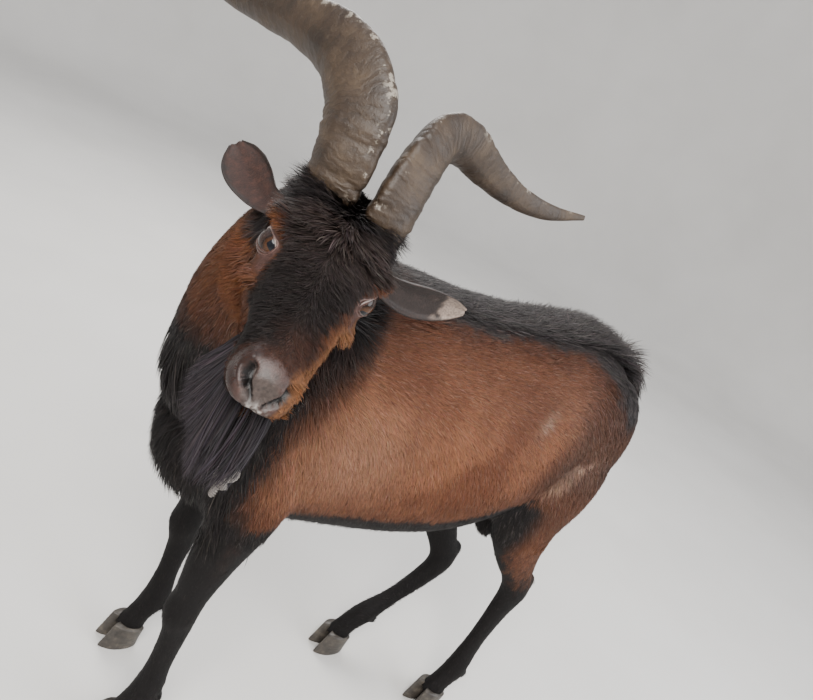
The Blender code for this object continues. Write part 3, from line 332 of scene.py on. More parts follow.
def loft(name, rings, closed=False):
    """A body through rings that all have the same number of points. A closed one is a ring of rings."""
    count, sides = len(rings), len(rings[0])
    points = [p for ring in rings for p in ring]
    faces = []
    for i in range(count if closed else count - 1):
        n = (i + 1) % count
        for j in range(sides):
            k = (j + 1) % sides
            faces.append((i * sides + j, i * sides + k, n * sides + k, n * sides + j))
    if not closed:
        faces.append(tuple(range(sides)))
        faces.append(tuple(range((count - 1) * sides, count * sides)))
    return mesh_from(name, points, faces)


def oval(centre, side, up, half_side, half_up, half_down, sides, power=2.0):
    """A ring round centre, flatter or squarer as power grows above 2."""
    angle = 2 * math.pi * np.arange(sides) / sides
    c, s = np.cos(angle), np.sin(angle)
    across = np.sign(c) * np.abs(c) ** (2 / power) * half_side
    rise = np.sign(s) * np.abs(s) ** (2 / power) * np.where(s > 0, half_up, half_down)
    return np.asarray(centre) + np.outer(across, side) + np.outer(rise, up)


def egg(centre, axes, radii, rings=16, sides=24):
    """A round muscle: a sphere primitive stretched along three axes."""
    bpy.ops.object.select_all(action="DESELECT")
    bpy.ops.mesh.primitive_uv_sphere_add(segments=sides, ring_count=rings, radius=1)
    obj = bpy.context.object
    stretch = Matrix([np.asarray(axis) * radius for axis, radius in zip(axes, radii)]).transposed()
    obj.data.transform(Matrix.Translation(Vector(centre)) @ stretch.to_4x4())
    obj.data.update()
    return obj


def join(objects, name):
    bpy.ops.object.select_all(action="DESELECT")
    for obj in objects:
        obj.select_set(True)
    bpy.context.view_layer.objects.active = objects[0]
    if len(objects) > 1:
        bpy.ops.object.join()
    objects[0].name = name
    objects[0].data.name = name
    return objects[0]


def apply_all(obj):
    """Applies the object's modifiers in their order."""
    bpy.ops.object.select_all(action="DESELECT")
    obj.select_set(True)
    bpy.context.view_layer.objects.active = obj
    for modifier in list(obj.modifiers):
        bpy.ops.object.modifier_apply(modifier=modifier.name)
    return obj


# %% The rows of sizes of the body
X_AXIS, Y_AXIS, Z_AXIS = np.eye(3)

# The trunk from chest to rump: x, top, bottom, half width
TRUNK = (
    (-0.362, 0.610, 0.515, 0.030),
    (-0.345, 0.690, 0.476, 0.074),
    (-0.300, 0.765, 0.446, 0.115),
    (-0.230, 0.832, 0.428, 0.140),
    (-0.130, 0.842, 0.420, 0.154),
    (0.000, 0.832, 0.416, 0.166),
    (0.110, 0.832, 0.426, 0.166),
    (0.210, 0.838, 0.462, 0.152),
    (0.300, 0.840, 0.520, 0.132),
    (0.368, 0.816, 0.560, 0.108),
    (0.412, 0.770, 0.608, 0.076),
    (0.430, 0.732, 0.646, 0.040),
)

# A foreleg from shoulder to coronet: x, distance from the midline, z, half side, half depth
FORELEG = (
    (-0.270, 0.082, 0.640, 0.046, 0.080),
    (-0.252, 0.104, 0.540, 0.046, 0.072),
    (-0.250, 0.106, 0.465, 0.040, 0.056),
    (-0.258, 0.100, 0.390, 0.031, 0.043),
    (-0.264, 0.096, 0.315, 0.0255, 0.030),
    (-0.268, 0.095, 0.278, 0.0270, 0.0305),
    (-0.262, 0.094, 0.235, 0.0205, 0.0245),
    (-0.262, 0.093, 0.165, 0.0180, 0.0215),
    (-0.264, 0.092, 0.102, 0.0235, 0.0270),
    (-0.280, 0.091, 0.066, 0.0215, 0.0235),
    (-0.292, 0.090, 0.030, 0.0260, 0.0290),
)
RIGHT_FORELEG_BACK = 0.045

# A hind leg from hip to coronet, standing square
HIND_LEG = (
    (0.310, 0.078, 0.690, 0.048, 0.110),
    (0.305, 0.098, 0.600, 0.052, 0.108),
    (0.292, 0.106, 0.510, 0.046, 0.086),
    (0.318, 0.105, 0.435, 0.036, 0.058),
    (0.358, 0.103, 0.368, 0.0250, 0.036),
    (0.380, 0.102, 0.322, 0.0250, 0.034),
    (0.376, 0.101, 0.268, 0.0200, 0.0265),
    (0.370, 0.100, 0.180, 0.0175, 0.0215),
    (0.366, 0.100, 0.102, 0.0225, 0.0265),
    (0.350, 0.100, 0.066, 0.0210, 0.0235),
    (0.338, 0.099, 0.030, 0.0255, 0.0285),
)

# The right hind leg, bent and set forward under the belly
BENT_HIND_LEG = (
    (0.300, 0.078, 0.680, 0.048, 0.108),
    (0.280, 0.096, 0.580, 0.052, 0.102),
    (0.232, 0.100, 0.480, 0.045, 0.078),
    (0.262, 0.086, 0.385, 0.036, 0.052),
    (0.318, 0.068, 0.292, 0.0255, 0.034),
    (0.340, 0.061, 0.245, 0.0250, 0.034),
    (0.318, 0.057, 0.200, 0.0205, 0.0265),
    (0.262, 0.052, 0.140, 0.0175, 0.0215),
    (0.213, 0.050, 0.094, 0.0225, 0.0260),
    (0.186, 0.050, 0.064, 0.0210, 0.0235),
    (0.172, 0.050, 0.030, 0.0255, 0.0285),
)

# The neck from the chest to the back of the skull: x, y, z, half side, half depth
NECK = (
    (-0.205, 0.000, 0.660, 0.105, 0.170),
    (-0.268, -0.002, 0.715, 0.104, 0.160),
    (-0.306, -0.022, 0.778, 0.088, 0.128),
    (-0.322, -0.062, 0.838, 0.076, 0.104),
    (-0.322, -0.108, 0.872, 0.068, 0.090),
    (-0.330, -0.150, 0.880, 0.055, 0.072),
)

TAIL = (
    (0.380, 0.0, 0.795, 0.034, 0.030),
    (0.424, 0.0, 0.788, 0.030, 0.022),
    (0.450, 0.0, 0.752, 0.030, 0.015),
    (0.461, 0.0, 0.700, 0.022, 0.010),
    (0.463, 0.0, 0.665, 0.008, 0.005),
)

# The skull and upper face: distance from the poll, middle height, half up, half down, half width
SKULL = (
    (-0.050, -0.062, 0.018, 0.022, 0.026),
    (-0.025, -0.052, 0.040, 0.050, 0.050),
    (0.015, -0.046, 0.050, 0.064, 0.060),
    (0.060, -0.045, 0.057, 0.070, 0.063),
    (0.100, -0.048, 0.054, 0.065, 0.062),
    (0.140, -0.060, 0.049, 0.049, 0.050),
    (0.180, -0.064, 0.041, 0.041, 0.0385),
    (0.218, -0.070, 0.034, 0.034, 0.0330),
    (0.250, -0.076, 0.031, 0.031, 0.0305),
    (0.272, -0.079, 0.026, 0.026, 0.0275),
    (0.286, -0.082, 0.016, 0.016, 0.0190),
)

# The lower jaw, in the same order
JAW = (
    (-0.010, -0.100, 0.045, 0.034, 0.034),
    (0.025, -0.108, 0.055, 0.047, 0.046),
    (0.065, -0.110, 0.055, 0.045, 0.045),
    (0.115, -0.110, 0.045, 0.035, 0.037),
    (0.165, -0.108, 0.035, 0.028, 0.030),
    (0.215, -0.106, 0.026, 0.021, 0.0250),
    (0.248, -0.106, 0.023, 0.023, 0.0225),
    (0.268, -0.106, 0.015, 0.018, 0.0160),
)

LEFT, RIGHT = -1, 1


def set_leg(rows, side, back=0.0):
    return np.array([(x + back, y * side, z, *rest) for x, y, z, *rest in rows])


LEG_ROWS = {
    "foreleg_left": set_leg(FORELEG, LEFT),
    "foreleg_right": set_leg(FORELEG, RIGHT, RIGHT_FORELEG_BACK),
    "hindleg_left": set_leg(HIND_LEG, LEFT),
    "hindleg_right": set_leg(BENT_HIND_LEG, RIGHT),
}


# %% The body's forms
def limb(name, rows, side, rings=40, sides=24):
    """A tube through rows of (x, y, z, half side, half depth)."""
    read = smooth_rows(rows, rings)
    along = unit(np.gradient(read[:, :3], axis=0))
    made = []
    for row, way in zip(read, along):
        depth = unit(np.cross(way, side))
        made.append(oval(row[:3], np.cross(depth, way), depth, row[3], row[4], row[4], sides))
    return loft(name, made)


def trunk():
    made = []
    for x, top, bottom, width in smooth_rows(TRUNK, 48):
        middle = bottom + (top - bottom) * 0.46
        made.append(oval((x, 0, middle), Y_AXIS, Z_AXIS, width, top - middle, middle - bottom, 40, 2.15))
    return loft("trunk_form", made)


NECK_RINGS = 30


def neck_frames():
    """Rings along the neck: centre, left, nape and row. Left turns from the body's to the head's."""
    read = smooth_rows(NECK, NECK_RINGS)
    along = unit(np.gradient(read[:, :3], axis=0))
    frames = []
    for i, row in enumerate(read):
        turn = min(1.0, i / (NECK_RINGS * 0.8))
        left = -Y_AXIS * (1 - turn) + HEAD_TURN[:, 1] * turn
        nape = unit(np.cross(along[i], left))
        frames.append((row[:3], np.cross(nape, along[i]), nape, row))
    return frames


def neck_form():
    rings = []
    for centre, left, nape, row in neck_frames():
        rings.append(oval(centre, left, nape, row[3], row[4], row[4], 30))
    return loft("neck_form", rings)


def body_forms():
    made = [trunk(), neck_form(), limb("tail_form", TAIL, Y_AXIS, 20, 16)]
    for name, rows in LEG_ROWS.items():
        made.append(limb(name + "_form", rows, Y_AXIS))
        if name.startswith("hind"):
            x, y, z = rows[5][:3]
            made.append(egg((x + 0.022, y, z + 0.020), np.eye(3), (0.017, 0.013, 0.026)))
        x, y, z = rows[8][:3]
        lean = np.array(Matrix.Rotation(math.radians(-25), 3, "Y"))
        for side in (LEFT, RIGHT):
            made.append(egg((x + 0.022, y + 0.012 * side, z - 0.010), lean.T, (0.009, 0.0075, 0.013)))
    slope = np.array(Matrix.Rotation(math.radians(18), 3, "Y")).T
    for side in (LEFT, RIGHT):
        back = RIGHT_FORELEG_BACK * 0.5 if side == RIGHT else 0.0
        made.append(egg((-0.255 + back, 0.088 * side, 0.665), slope, (0.078, 0.052, 0.150)))
        made.append(egg((0.308, 0.078 * side, 0.670), np.eye(3), (0.126, 0.062, 0.140)))
    made.append(egg((0.330, 0, 0.428), np.eye(3), (0.032, 0.038, 0.058)))
    made.append(egg((0.325, 0, 0.500), np.eye(3), (0.024, 0.026, 0.050)))
    made.append(egg((0.095, 0, 0.420), np.eye(3), (0.060, 0.018, 0.018)))
    return made


def head_forms():
    forward, left, up = HEAD_TURN.T
    made = []
    for name, rows, power in (("skull_form", SKULL, 2.25), ("jaw_form", JAW, 2.2)):
        rings = []
        for place, middle, high, low, width in smooth_rows(rows, 40):
            sizes = np.array((width, high, low)) * HEAD_SCALE
            rings.append(oval(on_head(place, 0, middle), left, up, *sizes, 32, power))
        made.append(loft(name, rings))
    for side in HEAD_SIDES:
        # Brow, cheekbone, wing of the nostril, and the stubs of ear and horn
        made.append(egg(on_head(0.098, 0.050 * side, -0.022), HEAD_TURN.T, (0.032, 0.017, 0.016)))
        made.append(egg(on_head(0.120, 0.046 * side, -0.062), HEAD_TURN.T, (0.036, 0.014, 0.014)))
        made.append(egg(on_head(0.262, 0.0155 * side, -0.071), HEAD_TURN.T, (0.016, 0.0125, 0.018)))
        made.append(egg(eye_place(side), eye_axes(side), (EYE_RADIUS + 0.003,) * 3))
        made.append(egg(on_head(0.000, 0.046 * side, -0.055), HEAD_TURN.T, (0.022, 0.020, 0.022)))
        made.append(egg(on_head(0.026, 0.030 * side, -0.010), HEAD_TURN.T, (0.044, 0.030, 0.022)))
    made.append(egg(on_head(0.244, 0, -0.116), HEAD_TURN.T, (0.024, 0.017, 0.015)))
    return made


def fused(forms, name, grain, rounds):
    """One surface round all the forms, in a grain of the given size, softened in so many rounds."""
    obj = join(forms, name)
    remesh = obj.modifiers.new("grain", "REMESH")
    remesh.mode = "VOXEL"
    remesh.voxel_size = grain
    soften = obj.modifiers.new("soften", "SMOOTH")
    soften.factor = 0.5
    soften.iterations = rounds
    return apply_all(obj)


def coordinates(mesh):
    points = np.empty(len(mesh.vertices) * 3, np.float32)
    mesh.vertices.foreach_get("co", points)
    return points.reshape(-1, 3).astype(float)


def point_normals(mesh):
    normals = np.empty(len(mesh.vertices) * 3, np.float32)
    mesh.vertex_normals.foreach_get("vector", normals)
    return normals.reshape(-1, 3).astype(float)


def set_coordinates(mesh, points):
    mesh.vertices.foreach_set("co", np.asarray(points, np.float32).ravel())
    mesh.update()


BODY_GRAIN, HEAD_GRAIN = 0.0070, 0.0022
body_skin = fused(body_forms() + head_forms(), "body_skin", BODY_GRAIN, 4)
head_skin = fused(head_forms() + [neck_form()], "head_skin", HEAD_GRAIN, 16)
print("body", len(body_skin.data.polygons), "head", len(head_skin.data.polygons), "faces")

# %% [markdown]
# The face needs a finer grain than the body, so both are cut by one plane behind the jaw, and the
# head's part comes from the finer surface. They overlap by a few millimetres under the mane.

# %% Part the two grains behind the jaw
HEAD_CUT = on_head(-0.012, 0.0, -0.090)
HEAD_CUT_NORMAL = head_direction(0.888, 0.0, 0.46)
SEAM_OVERLAP = 0.004


def drop_faces(obj, gone):
    """Deletes the faces whose middles the test picks out."""
    mesh = obj.data
    middles = np.empty(len(mesh.polygons) * 3, np.float32)
    mesh.polygons.foreach_get("center", middles)
    picked = np.flatnonzero(gone(middles.reshape(-1, 3).astype(float)))
    shell = bmesh.new()
    shell.from_mesh(mesh)
    shell.faces.ensure_lookup_table()
    bmesh.ops.delete(shell, geom=[shell.faces[i] for i in picked], context="FACES")
    shell.to_mesh(mesh)
    shell.free()


def beyond_cut(points):
    """How far the points lie on the head's side of the cut, and whether they are near the head."""
    along = (points - HEAD_CUT) @ HEAD_CUT_NORMAL
    across = np.linalg.norm(points - HEAD_CUT - np.outer(along, HEAD_CUT_NORMAL), axis=1)
    return along, across < 0.14


def is_head(points, margin):
    along, near = beyond_cut(points)
    return (along > margin) & near & (points[:, 2] > 0.74)


drop_faces(body_skin, lambda p: is_head(p, SEAM_OVERLAP))
drop_faces(head_skin, lambda p: ~is_head(p, -SEAM_OVERLAP))
print("after the cut: body", len(body_skin.data.polygons), "head", len(head_skin.data.polygons))


# %% [markdown]
# Small hollows and swellings are pushed into the face as a sculptor would with a brush. Each
# stroke has a place in the head's frame, a reach along three directions, and a depth.

# %% Sculpt the face
def ease(low, high, value):
    """0 below low, 1 above high, and a smooth rise between them."""
    t = np.clip((value - low) / (high - low), 0, 1)
    return t * t * (3 - 2 * t)


def dab(head_points, place, reach, height):
    """A soft round stroke of the given height on each point."""
    away = (head_points - np.asarray(place)) / np.asarray(reach)
    return height * np.exp(-0.5 * (away**2).sum(axis=1))


def mouth_height(forward):
    """The mouth line's height in the head's frame: it rises a little to its corners."""
    return -0.0985 + 0.010 * ease(0.24, 0.185, forward)


# The nostril's middle line on the front of the nose: how far aside and up, and its half width there
NOSTRIL = (
    (0.0185, -0.0655, 0.0030),
    (0.0195, -0.0715, 0.0041),
    (0.0160, -0.0775, 0.0034),
    (0.0105, -0.0825, 0.0020),
    (0.0050, -0.0885, 0.0011),
)


def nostril(head_points, side):
    """How far each point lies in the nostril on one side, and on the wing that curls round it."""
    s, l, u = head_points.T
    line = smooth_rows(NOSTRIL, 24)
    place = np.stack([l * side, u], axis=1)
    away = np.linalg.norm(place[:, None] - line[None, :, :2], axis=2)
    nearest = (away / line[None, :, 2]).argmin(axis=1)
    share = away[np.arange(len(place)), nearest] / line[nearest, 2]
    front = ease(0.258, 0.266, s)
    outside = ease(0.0, 0.002, place[:, 0] - line[nearest, 0]) * ease(-0.084, -0.078, u)
    hole = np.exp(-(share**4)) * (0.35 + 0.65 * np.minimum(1, line[nearest, 2] / 0.0026)) * front
    wing = np.exp(-(((away[np.arange(len(place)), nearest] - 0.0058) / 0.0028) ** 2)) * outside * front
    return hole, wing


# Strokes made on both sides of the face: place, reach and height
SIDE_STROKES = (
    # Cheek hollow, cheekbone and jaw muscle
    ((0.172, 0.047, -0.094), (0.026, 0.02, 0.014), -0.0035),
    ((0.140, 0.052, -0.068), (0.030, 0.02, 0.008), 0.0026),
    ((0.052, 0.055, -0.105), (0.030, 0.03, 0.030), 0.0030),
    # Tear trough, the pit over the eye, the brow, and the side of the bridge
    ((0.147, 0.048, -0.056), (0.014, 0.02, 0.0034), -0.0030),
    ((0.078, 0.058, -0.020), (0.014, 0.02, 0.010), -0.0025),
    ((0.112, 0.052, -0.013), (0.022, 0.02, 0.007), 0.0030),
    ((0.205, 0.030, -0.055), (0.030, 0.01, 0.010), 0.0018),
)
# Both lips stand forward, the bent neck pushes the right one out, and the forehead is full
SINGLE_STROKES = (
    ((0.284, 0.0, -0.094), (0.020, 0.022, 0.008), 0.0045),
    ((0.262, 0.0, -0.116), (0.020, 0.020, 0.010), 0.0045),
    ((0.250, -0.032, -0.088), (0.024, 0.010, 0.018), 0.0050),
    ((0.085, 0.0, 0.010), (0.035, 0.022, 0.02), 0.0030),
)


def sculpt_face(obj):
    mesh = obj.data
    points, normals = coordinates(mesh), point_normals(mesh)
    h = to_head(points)
    s, l, u = h.T
    push = np.zeros(len(points))
    # Mouth line, fuller lips above and below it, and the groove under the nose
    front = ease(0.186, 0.200, s)
    from_mouth = u - mouth_height(s)
    push -= 0.0042 * front * np.exp(-0.5 * (from_mouth / 0.0021) ** 2)
    push += 0.0016 * front * np.exp(-0.5 * ((from_mouth - 0.008) / 0.005) ** 2)
    push += 0.0010 * front * np.exp(-0.5 * ((from_mouth + 0.007) / 0.004) ** 2)
    groove = 0.0018 * ease(0.262, 0.275, s) * np.exp(-0.5 * (l / 0.0016) ** 2)
    push -= groove * ease(-0.100, -0.094, u) * ease(-0.070, -0.078, u)
    for side in HEAD_SIDES:
        # The nostril is a slanting comma whose tail runs to the groove, with a raised wing outside it
        hole, wing = nostril(h, side)
        push -= 0.0080 * hole
        push += 0.0024 * wing
        for (forward, aside, rise), reach, height in SIDE_STROKES:
            push += dab(h, (forward, aside * side, rise), reach, height)
    for stroke in SINGLE_STROKES:
        push += dab(h, *stroke)
    set_coordinates(mesh, points + normals * push[:, None])


sculpt_face(head_skin)

# %% [markdown]
# The eye looks out through an almond opening. The skin's points near its edge are drawn onto it,
# the faces inside are dropped, and the eye and its lids are set in it afterwards.

# %% Open the eyes
OPENING = (0.0142, 0.0096)
LID_REACH, LID_GAP = 1.9, 0.0012


def eye_ring(points, side):
    """How far out from the eye's middle each point lies: 1 is the edge of the opening, 9 is elsewhere."""
    looks, slit, across = eye_axes(side)
    away = points - eye_place(side)
    ring = np.sqrt((away @ slit / OPENING[0]) ** 2 + (away @ across / OPENING[1]) ** 2)
    near = (np.linalg.norm(away, axis=1) < 0.040) & (away @ looks > 0)
    return np.where(near, ring, 9.0)


def open_eyes(obj):
    """Faces of the skin inside the opening are dropped, and the rim is drawn onto its almond."""
    mesh = obj.data
    for side in HEAD_SIDES:
        looks, slit, across = eye_axes(side)
        centre = eye_place(side)
        points = coordinates(mesh)
        away = points - centre
        a, b, d = away @ slit, away @ across, away @ looks
        near = (np.linalg.norm(away, axis=1) < 0.030) & (d > 0)
        ring = np.sqrt((a / OPENING[0]) ** 2 + (b / OPENING[1]) ** 2)
        # Points just outside the almond move onto its edge, so that the hole has a clean rim
        edge = near & (ring > 0.55) & (ring < 1.25)
        scale = np.where(edge, 1.0 / np.maximum(ring, 1e-6), 1.0)
        blend = np.where(edge, np.where(ring > 1, 1 - (ring - 1) / 0.25, 1.0), 0.0)
        scale = 1 + (scale - 1) * blend
        moved = centre + np.outer(a * scale, slit) + np.outer(b * scale, across) + np.outer(d, looks)
        points[near] = moved[near]
        # The lids' edges come down onto the ball
        ring = eye_ring(points, side)
        away = points - centre
        far = np.linalg.norm(away, axis=1)
        close = ease(LID_REACH, 1.0, ring)
        wanted = far + (EYE_RADIUS + LID_GAP - far) * close
        points = np.where(close[:, None] > 0, centre + unit(away) * wanted[:, None], points)
        set_coordinates(mesh, points)

        def inside(middles):
            away = middles - centre
            a, b, d = away @ slit, away @ across, away @ looks
            ring = np.sqrt((a / OPENING[0]) ** 2 + (b / OPENING[1]) ** 2)
            return (np.linalg.norm(away, axis=1) < 0.030) & (d > 0) & (ring < 0.97)

        drop_faces(obj, inside)


open_eyes(head_skin)


# %% The skin lies under the coat by the coat's depth
def coat_depth(points):
    """How deep the coat is over the skin: least on the face and the lower legs."""
    s, l, u = to_head(points).T
    head = is_head(points, -0.01)
    depth = 0.0022 + 0.0030 * ease(0.30, 0.50, points[:, 2])
    face = 0.0006 + 0.0020 * ease(0.16, 0.05, s)
    return np.where(head, face, depth)


for obj in (body_skin, head_skin):
    points, normals = coordinates(obj.data), point_normals(obj.data)
    set_coordinates(obj.data, points - normals * coat_depth(points)[:, None])
skin = join([body_skin, head_skin], "skin")
bpy.ops.object.shade_smooth()
print("skin faces:", len(skin.data.polygons))

# %% [markdown]
# ## The markings
# One function says which colour the hair has at any place: chestnut flanks, a black stripe down the
# back, black legs, belly, throat and face, brown cheeks. The skin and every tuft read it, so they
# can't disagree. Its edges are broken up by a few smooth waves laid over each other.

# %% Markings
BLACK = np.array((0.0062, 0.0050, 0.0050))
DARK_BROWN = np.array((0.026, 0.0105, 0.0065))
CHESTNUT = np.array((0.092, 0.032, 0.0145))
TAN = np.array((0.185, 0.076, 0.037))
ORANGE = np.array((0.120, 0.042, 0.0135))
NOSE_PAD = np.array((0.060, 0.044, 0.038))
NOSE_RIM = np.array((0.050, 0.025, 0.020))
NOSE_WING = np.array((0.0170, 0.0058, 0.0042))
NOSE_CHIP = np.array((0.42, 0.40, 0.37))
PINK_SKIN = np.array((0.200, 0.105, 0.088))
STRIP_BROWN = np.array((0.125, 0.052, 0.0210))
# The pale tan of a painted sheen on the flank
SHEEN_TAN = np.array((0.200, 0.100, 0.060))
THIGH_BROWN = np.array((0.038, 0.0190, 0.0130))
STRIPE_GREY = np.array((0.0210, 0.0178, 0.0175))
NECK_BROWN = np.array((0.050, 0.0195, 0.0098))


def waves(points, size, seed):
    """A smooth noise between about -1 and 1, whose patches are of the given size."""
    chance = np.random.default_rng(seed)
    total = np.zeros(len(points))
    for _ in range(9):
        way = unit(chance.normal(size=3)) * (2 * math.pi / size) * chance.uniform(0.6, 1.6)
        total += np.sin(points @ way + chance.uniform(0, 2 * math.pi))
    return total / 3.0


def mix(base, over, share):
    return base + (over - base) * np.clip(share, 0, 1)[:, None]


TRUNK_ROWS = smooth_rows(TRUNK, 60)


def trunk_at(x):
    """The trunk's top, bottom and half width at each x."""
    return [np.interp(x, TRUNK_ROWS[:, 0], TRUNK_ROWS[:, k]) for k in (1, 2, 3)]


# Where the stripe, the belly band and the chest's black end: places along the body and sizes there
STRIPE_PLACES = (-0.20, -0.02, 0.13, 0.22, 0.265, 0.295, 0.33, 0.37)
STRIPE_WIDTHS = (0.055, 0.066, 0.063, 0.062, 0.074, 0.098, 0.120, 0.130)
BELLY_PLACES = (-0.22, -0.17, -0.02, 0.05, 0.10, 0.20)
BELLY_HEIGHTS = (0.498, 0.507, 0.524, 0.534, 0.550, 0.570)
CHEST_HEIGHTS = (0.48, 0.50, 0.535, 0.562, 0.594, 0.626, 0.662, 0.678, 0.724, 0.765, 0.789, 0.84)
CHEST_PLACES = (-0.268, -0.266, -0.270, -0.273, -0.266, -0.265, -0.261, -0.250, -0.241, -0.219, -0.195, -0.150)


# Pale streaks of painted sheen on flank and thigh: middle's x and z, slope, half length and half width
SHEEN_STREAKS = (
    (0.144, 0.726, 0.6, 0.016, 0.014),
    (0.257, 0.605, 0.9, 0.028, 0.012),
    (0.300, 0.655, 0.7, 0.020, 0.008),
)
# The pale beige of the painted sheen streaks
SHEEN_BEIGE = np.array((0.210, 0.130, 0.092))


def body_colours(points):
    x, y, z = points.T
    top, bottom, half = trunk_at(x)
    broad, fine = waves(points, 0.12, 1), waves(points, 0.022, 2)
    colour = np.tile(CHESTNUT, (len(points), 1))
    # Lighter, sun-bleached patches on the flank and thigh, redder below the back
    colour = mix(colour, TAN, 0.30 + 0.28 * broad + 0.15 * waves(points, 0.045, 3))
    # A pale patch of painted sheen on the flank behind the shoulder
    shoulder = np.exp(-(((x + 0.16) / 0.09) ** 2) - ((z - 0.62) / 0.09) ** 2)
    colour = mix(colour, SHEEN_TAN, 0.75 * shoulder)
    # The thigh is a greyer brown with pale streaks of painted sheen, and rust down its back edge
    thigh = ease(0.17, 0.27, x + 0.15 * (0.7 - z)) * ease(0.46, 0.54, z)
    colour = mix(colour, THIGH_BROWN, 0.85 * thigh)
    for sheen_x, sheen_z, slope, long, wide in SHEEN_STREAKS:
        across = (z - sheen_z) - slope * (x - sheen_x)
        sheen = np.exp(-(((x - sheen_x) / long) ** 2) - (across / wide) ** 2)
        colour = mix(colour, SHEEN_BEIGE, (0.75 + 0.25 * fine) * sheen)
    colour = mix(colour, CHESTNUT * 0.62, 0.7 * ease(top - 0.16, top - 0.05, z))
    # Stripe along the back, wider over the loin
    width = np.interp(x, STRIPE_PLACES, STRIPE_WIDTHS) + 0.006 * fine + 0.004 * broad
    stripe = ease(width + 0.010, width - 0.012, np.abs(y)) * ease(0.72, 0.755, z)
    colour = mix(colour, DARK_BROWN, ease(width + 0.045, width, np.abs(y)) * ease(0.70, 0.76, z) * 0.7)
    colour = mix(colour, STRIPE_GREY, stripe)
    # Belly band
    low = np.interp(x, BELLY_PLACES, BELLY_HEIGHTS) + 0.004 * fine
    colour = mix(colour, CHESTNUT * 0.8, ease(low + 0.07, low, z) * 0.6)
    colour = mix(colour, BLACK, ease(low + 0.006, low - 0.010, z) * ease(0.29, 0.24, x) * ease(-0.34, -0.29, x))
    # Rump behind, with the tail
    colour = mix(colour, DARK_BROWN, ease(0.375, 0.41, x + 0.006 * fine) * ease(0.52, 0.62, z) * 0.7)
    colour = mix(colour, BLACK, ease(0.395, 0.425, x + 0.006 * fine) * ease(0.64, 0.69, z))
    # Chest and the front of the shoulder
    chest = np.interp(z, CHEST_HEIGHTS, CHEST_PLACES) - 0.012 + 0.006 * fine + 0.006 * broad
    colour = mix(colour, DARK_BROWN, ease(chest + 0.040, chest, x) * 0.7)
    colour = mix(colour, BLACK * 1.4, ease(chest + 0.008, chest - 0.014, x))
    # Legs: black below, and black in front and inside above the knee and hock
    fore = x < 0
    knee = np.where(fore, 0.37, 0.36) + 0.018 * fine
    colour = mix(colour, BLACK, ease(knee + 0.05, knee - 0.03, z))
    front = ease(-0.240, -0.280, x + 0.006 * fine) * ease(0.56, 0.48, z) * fore
    colour = mix(colour, BLACK, front)
    groin_edge = 0.207 + 0.95 * (0.497 - z) + 0.008 * fine
    groin = ease(groin_edge + 0.012, groin_edge - 0.014, x) * ease(0.55, 0.50, z) * (x > 0.12)
    colour = mix(colour, BLACK, groin)
    inside = ease(0.060, 0.040, np.abs(y)) * ease(0.58, 0.52, z)
    colour = mix(colour, BLACK, inside)
    return colour


def neck_colours(points):
    """The neck is brown on its sides, and black along the nape and the throat."""
    s, l, u = to_head(points).T
    fine, broad = waves(points, 0.022, 4), waves(points, 0.09, 5)
    colour = mix(np.tile(NECK_BROWN, (len(points), 1)), ORANGE, 0.10 + 0.20 * broad)
    centres = np.array([f[0] for f in neck_frames()])
    lefts = np.array([f[1] for f in neck_frames()])
    napes = np.array([f[2] for f in neck_frames()])
    nearest = np.empty(len(points), int)
    for start in range(0, len(points), 20000):
        block = points[start : start + 20000]
        nearest[start : start + 20000] = np.linalg.norm(block[:, None] - centres[None], axis=2).argmin(axis=1)
    away = points - centres[nearest]
    round_neck = np.degrees(np.arctan2((away * lefts[nearest]).sum(1), (away * napes[nearest]).sum(1)))
    turn = np.abs(round_neck + 5 * fine)
    colour = mix(colour, BLACK, ease(38, 24, turn))
    # The side under the left cheek is black: dark hair with the jaw's shadow painted over it. The front is brown until
    # the chest's black begins
    x, y, z = points.T
    colour = mix(colour, BLACK, ease(0.0, 0.035, l + 0.006 * fine))
    colour = mix(colour, DARK_BROWN, ease(0.80, 0.74, z + 0.012 * fine) * 0.8)
    colour = mix(colour, BLACK, ease(0.755, 0.715, z + 0.010 * fine))
    return colour, nearest


# The black of the face along the head: how far it reaches to the left and to the right of its middle
BLACK_PLACES = (-0.05, 0.05, 0.08, 0.12, 0.15, 0.165, 0.19, 0.235, 0.255, 0.275)
BLACK_LEFT = (0.080, 0.075, 0.068, 0.055, 0.040, 0.031, 0.024, 0.018, 0.014, 0.008)
BLACK_RIGHT = (0.080, 0.072, 0.062, 0.049, 0.042, 0.047, 0.060, 0.060, 0.030, 0.014)
# The nose's bare pad: its middle aside and up, and its half width and half height
PAD = (-0.003, -0.0765, 0.0215, 0.0235)


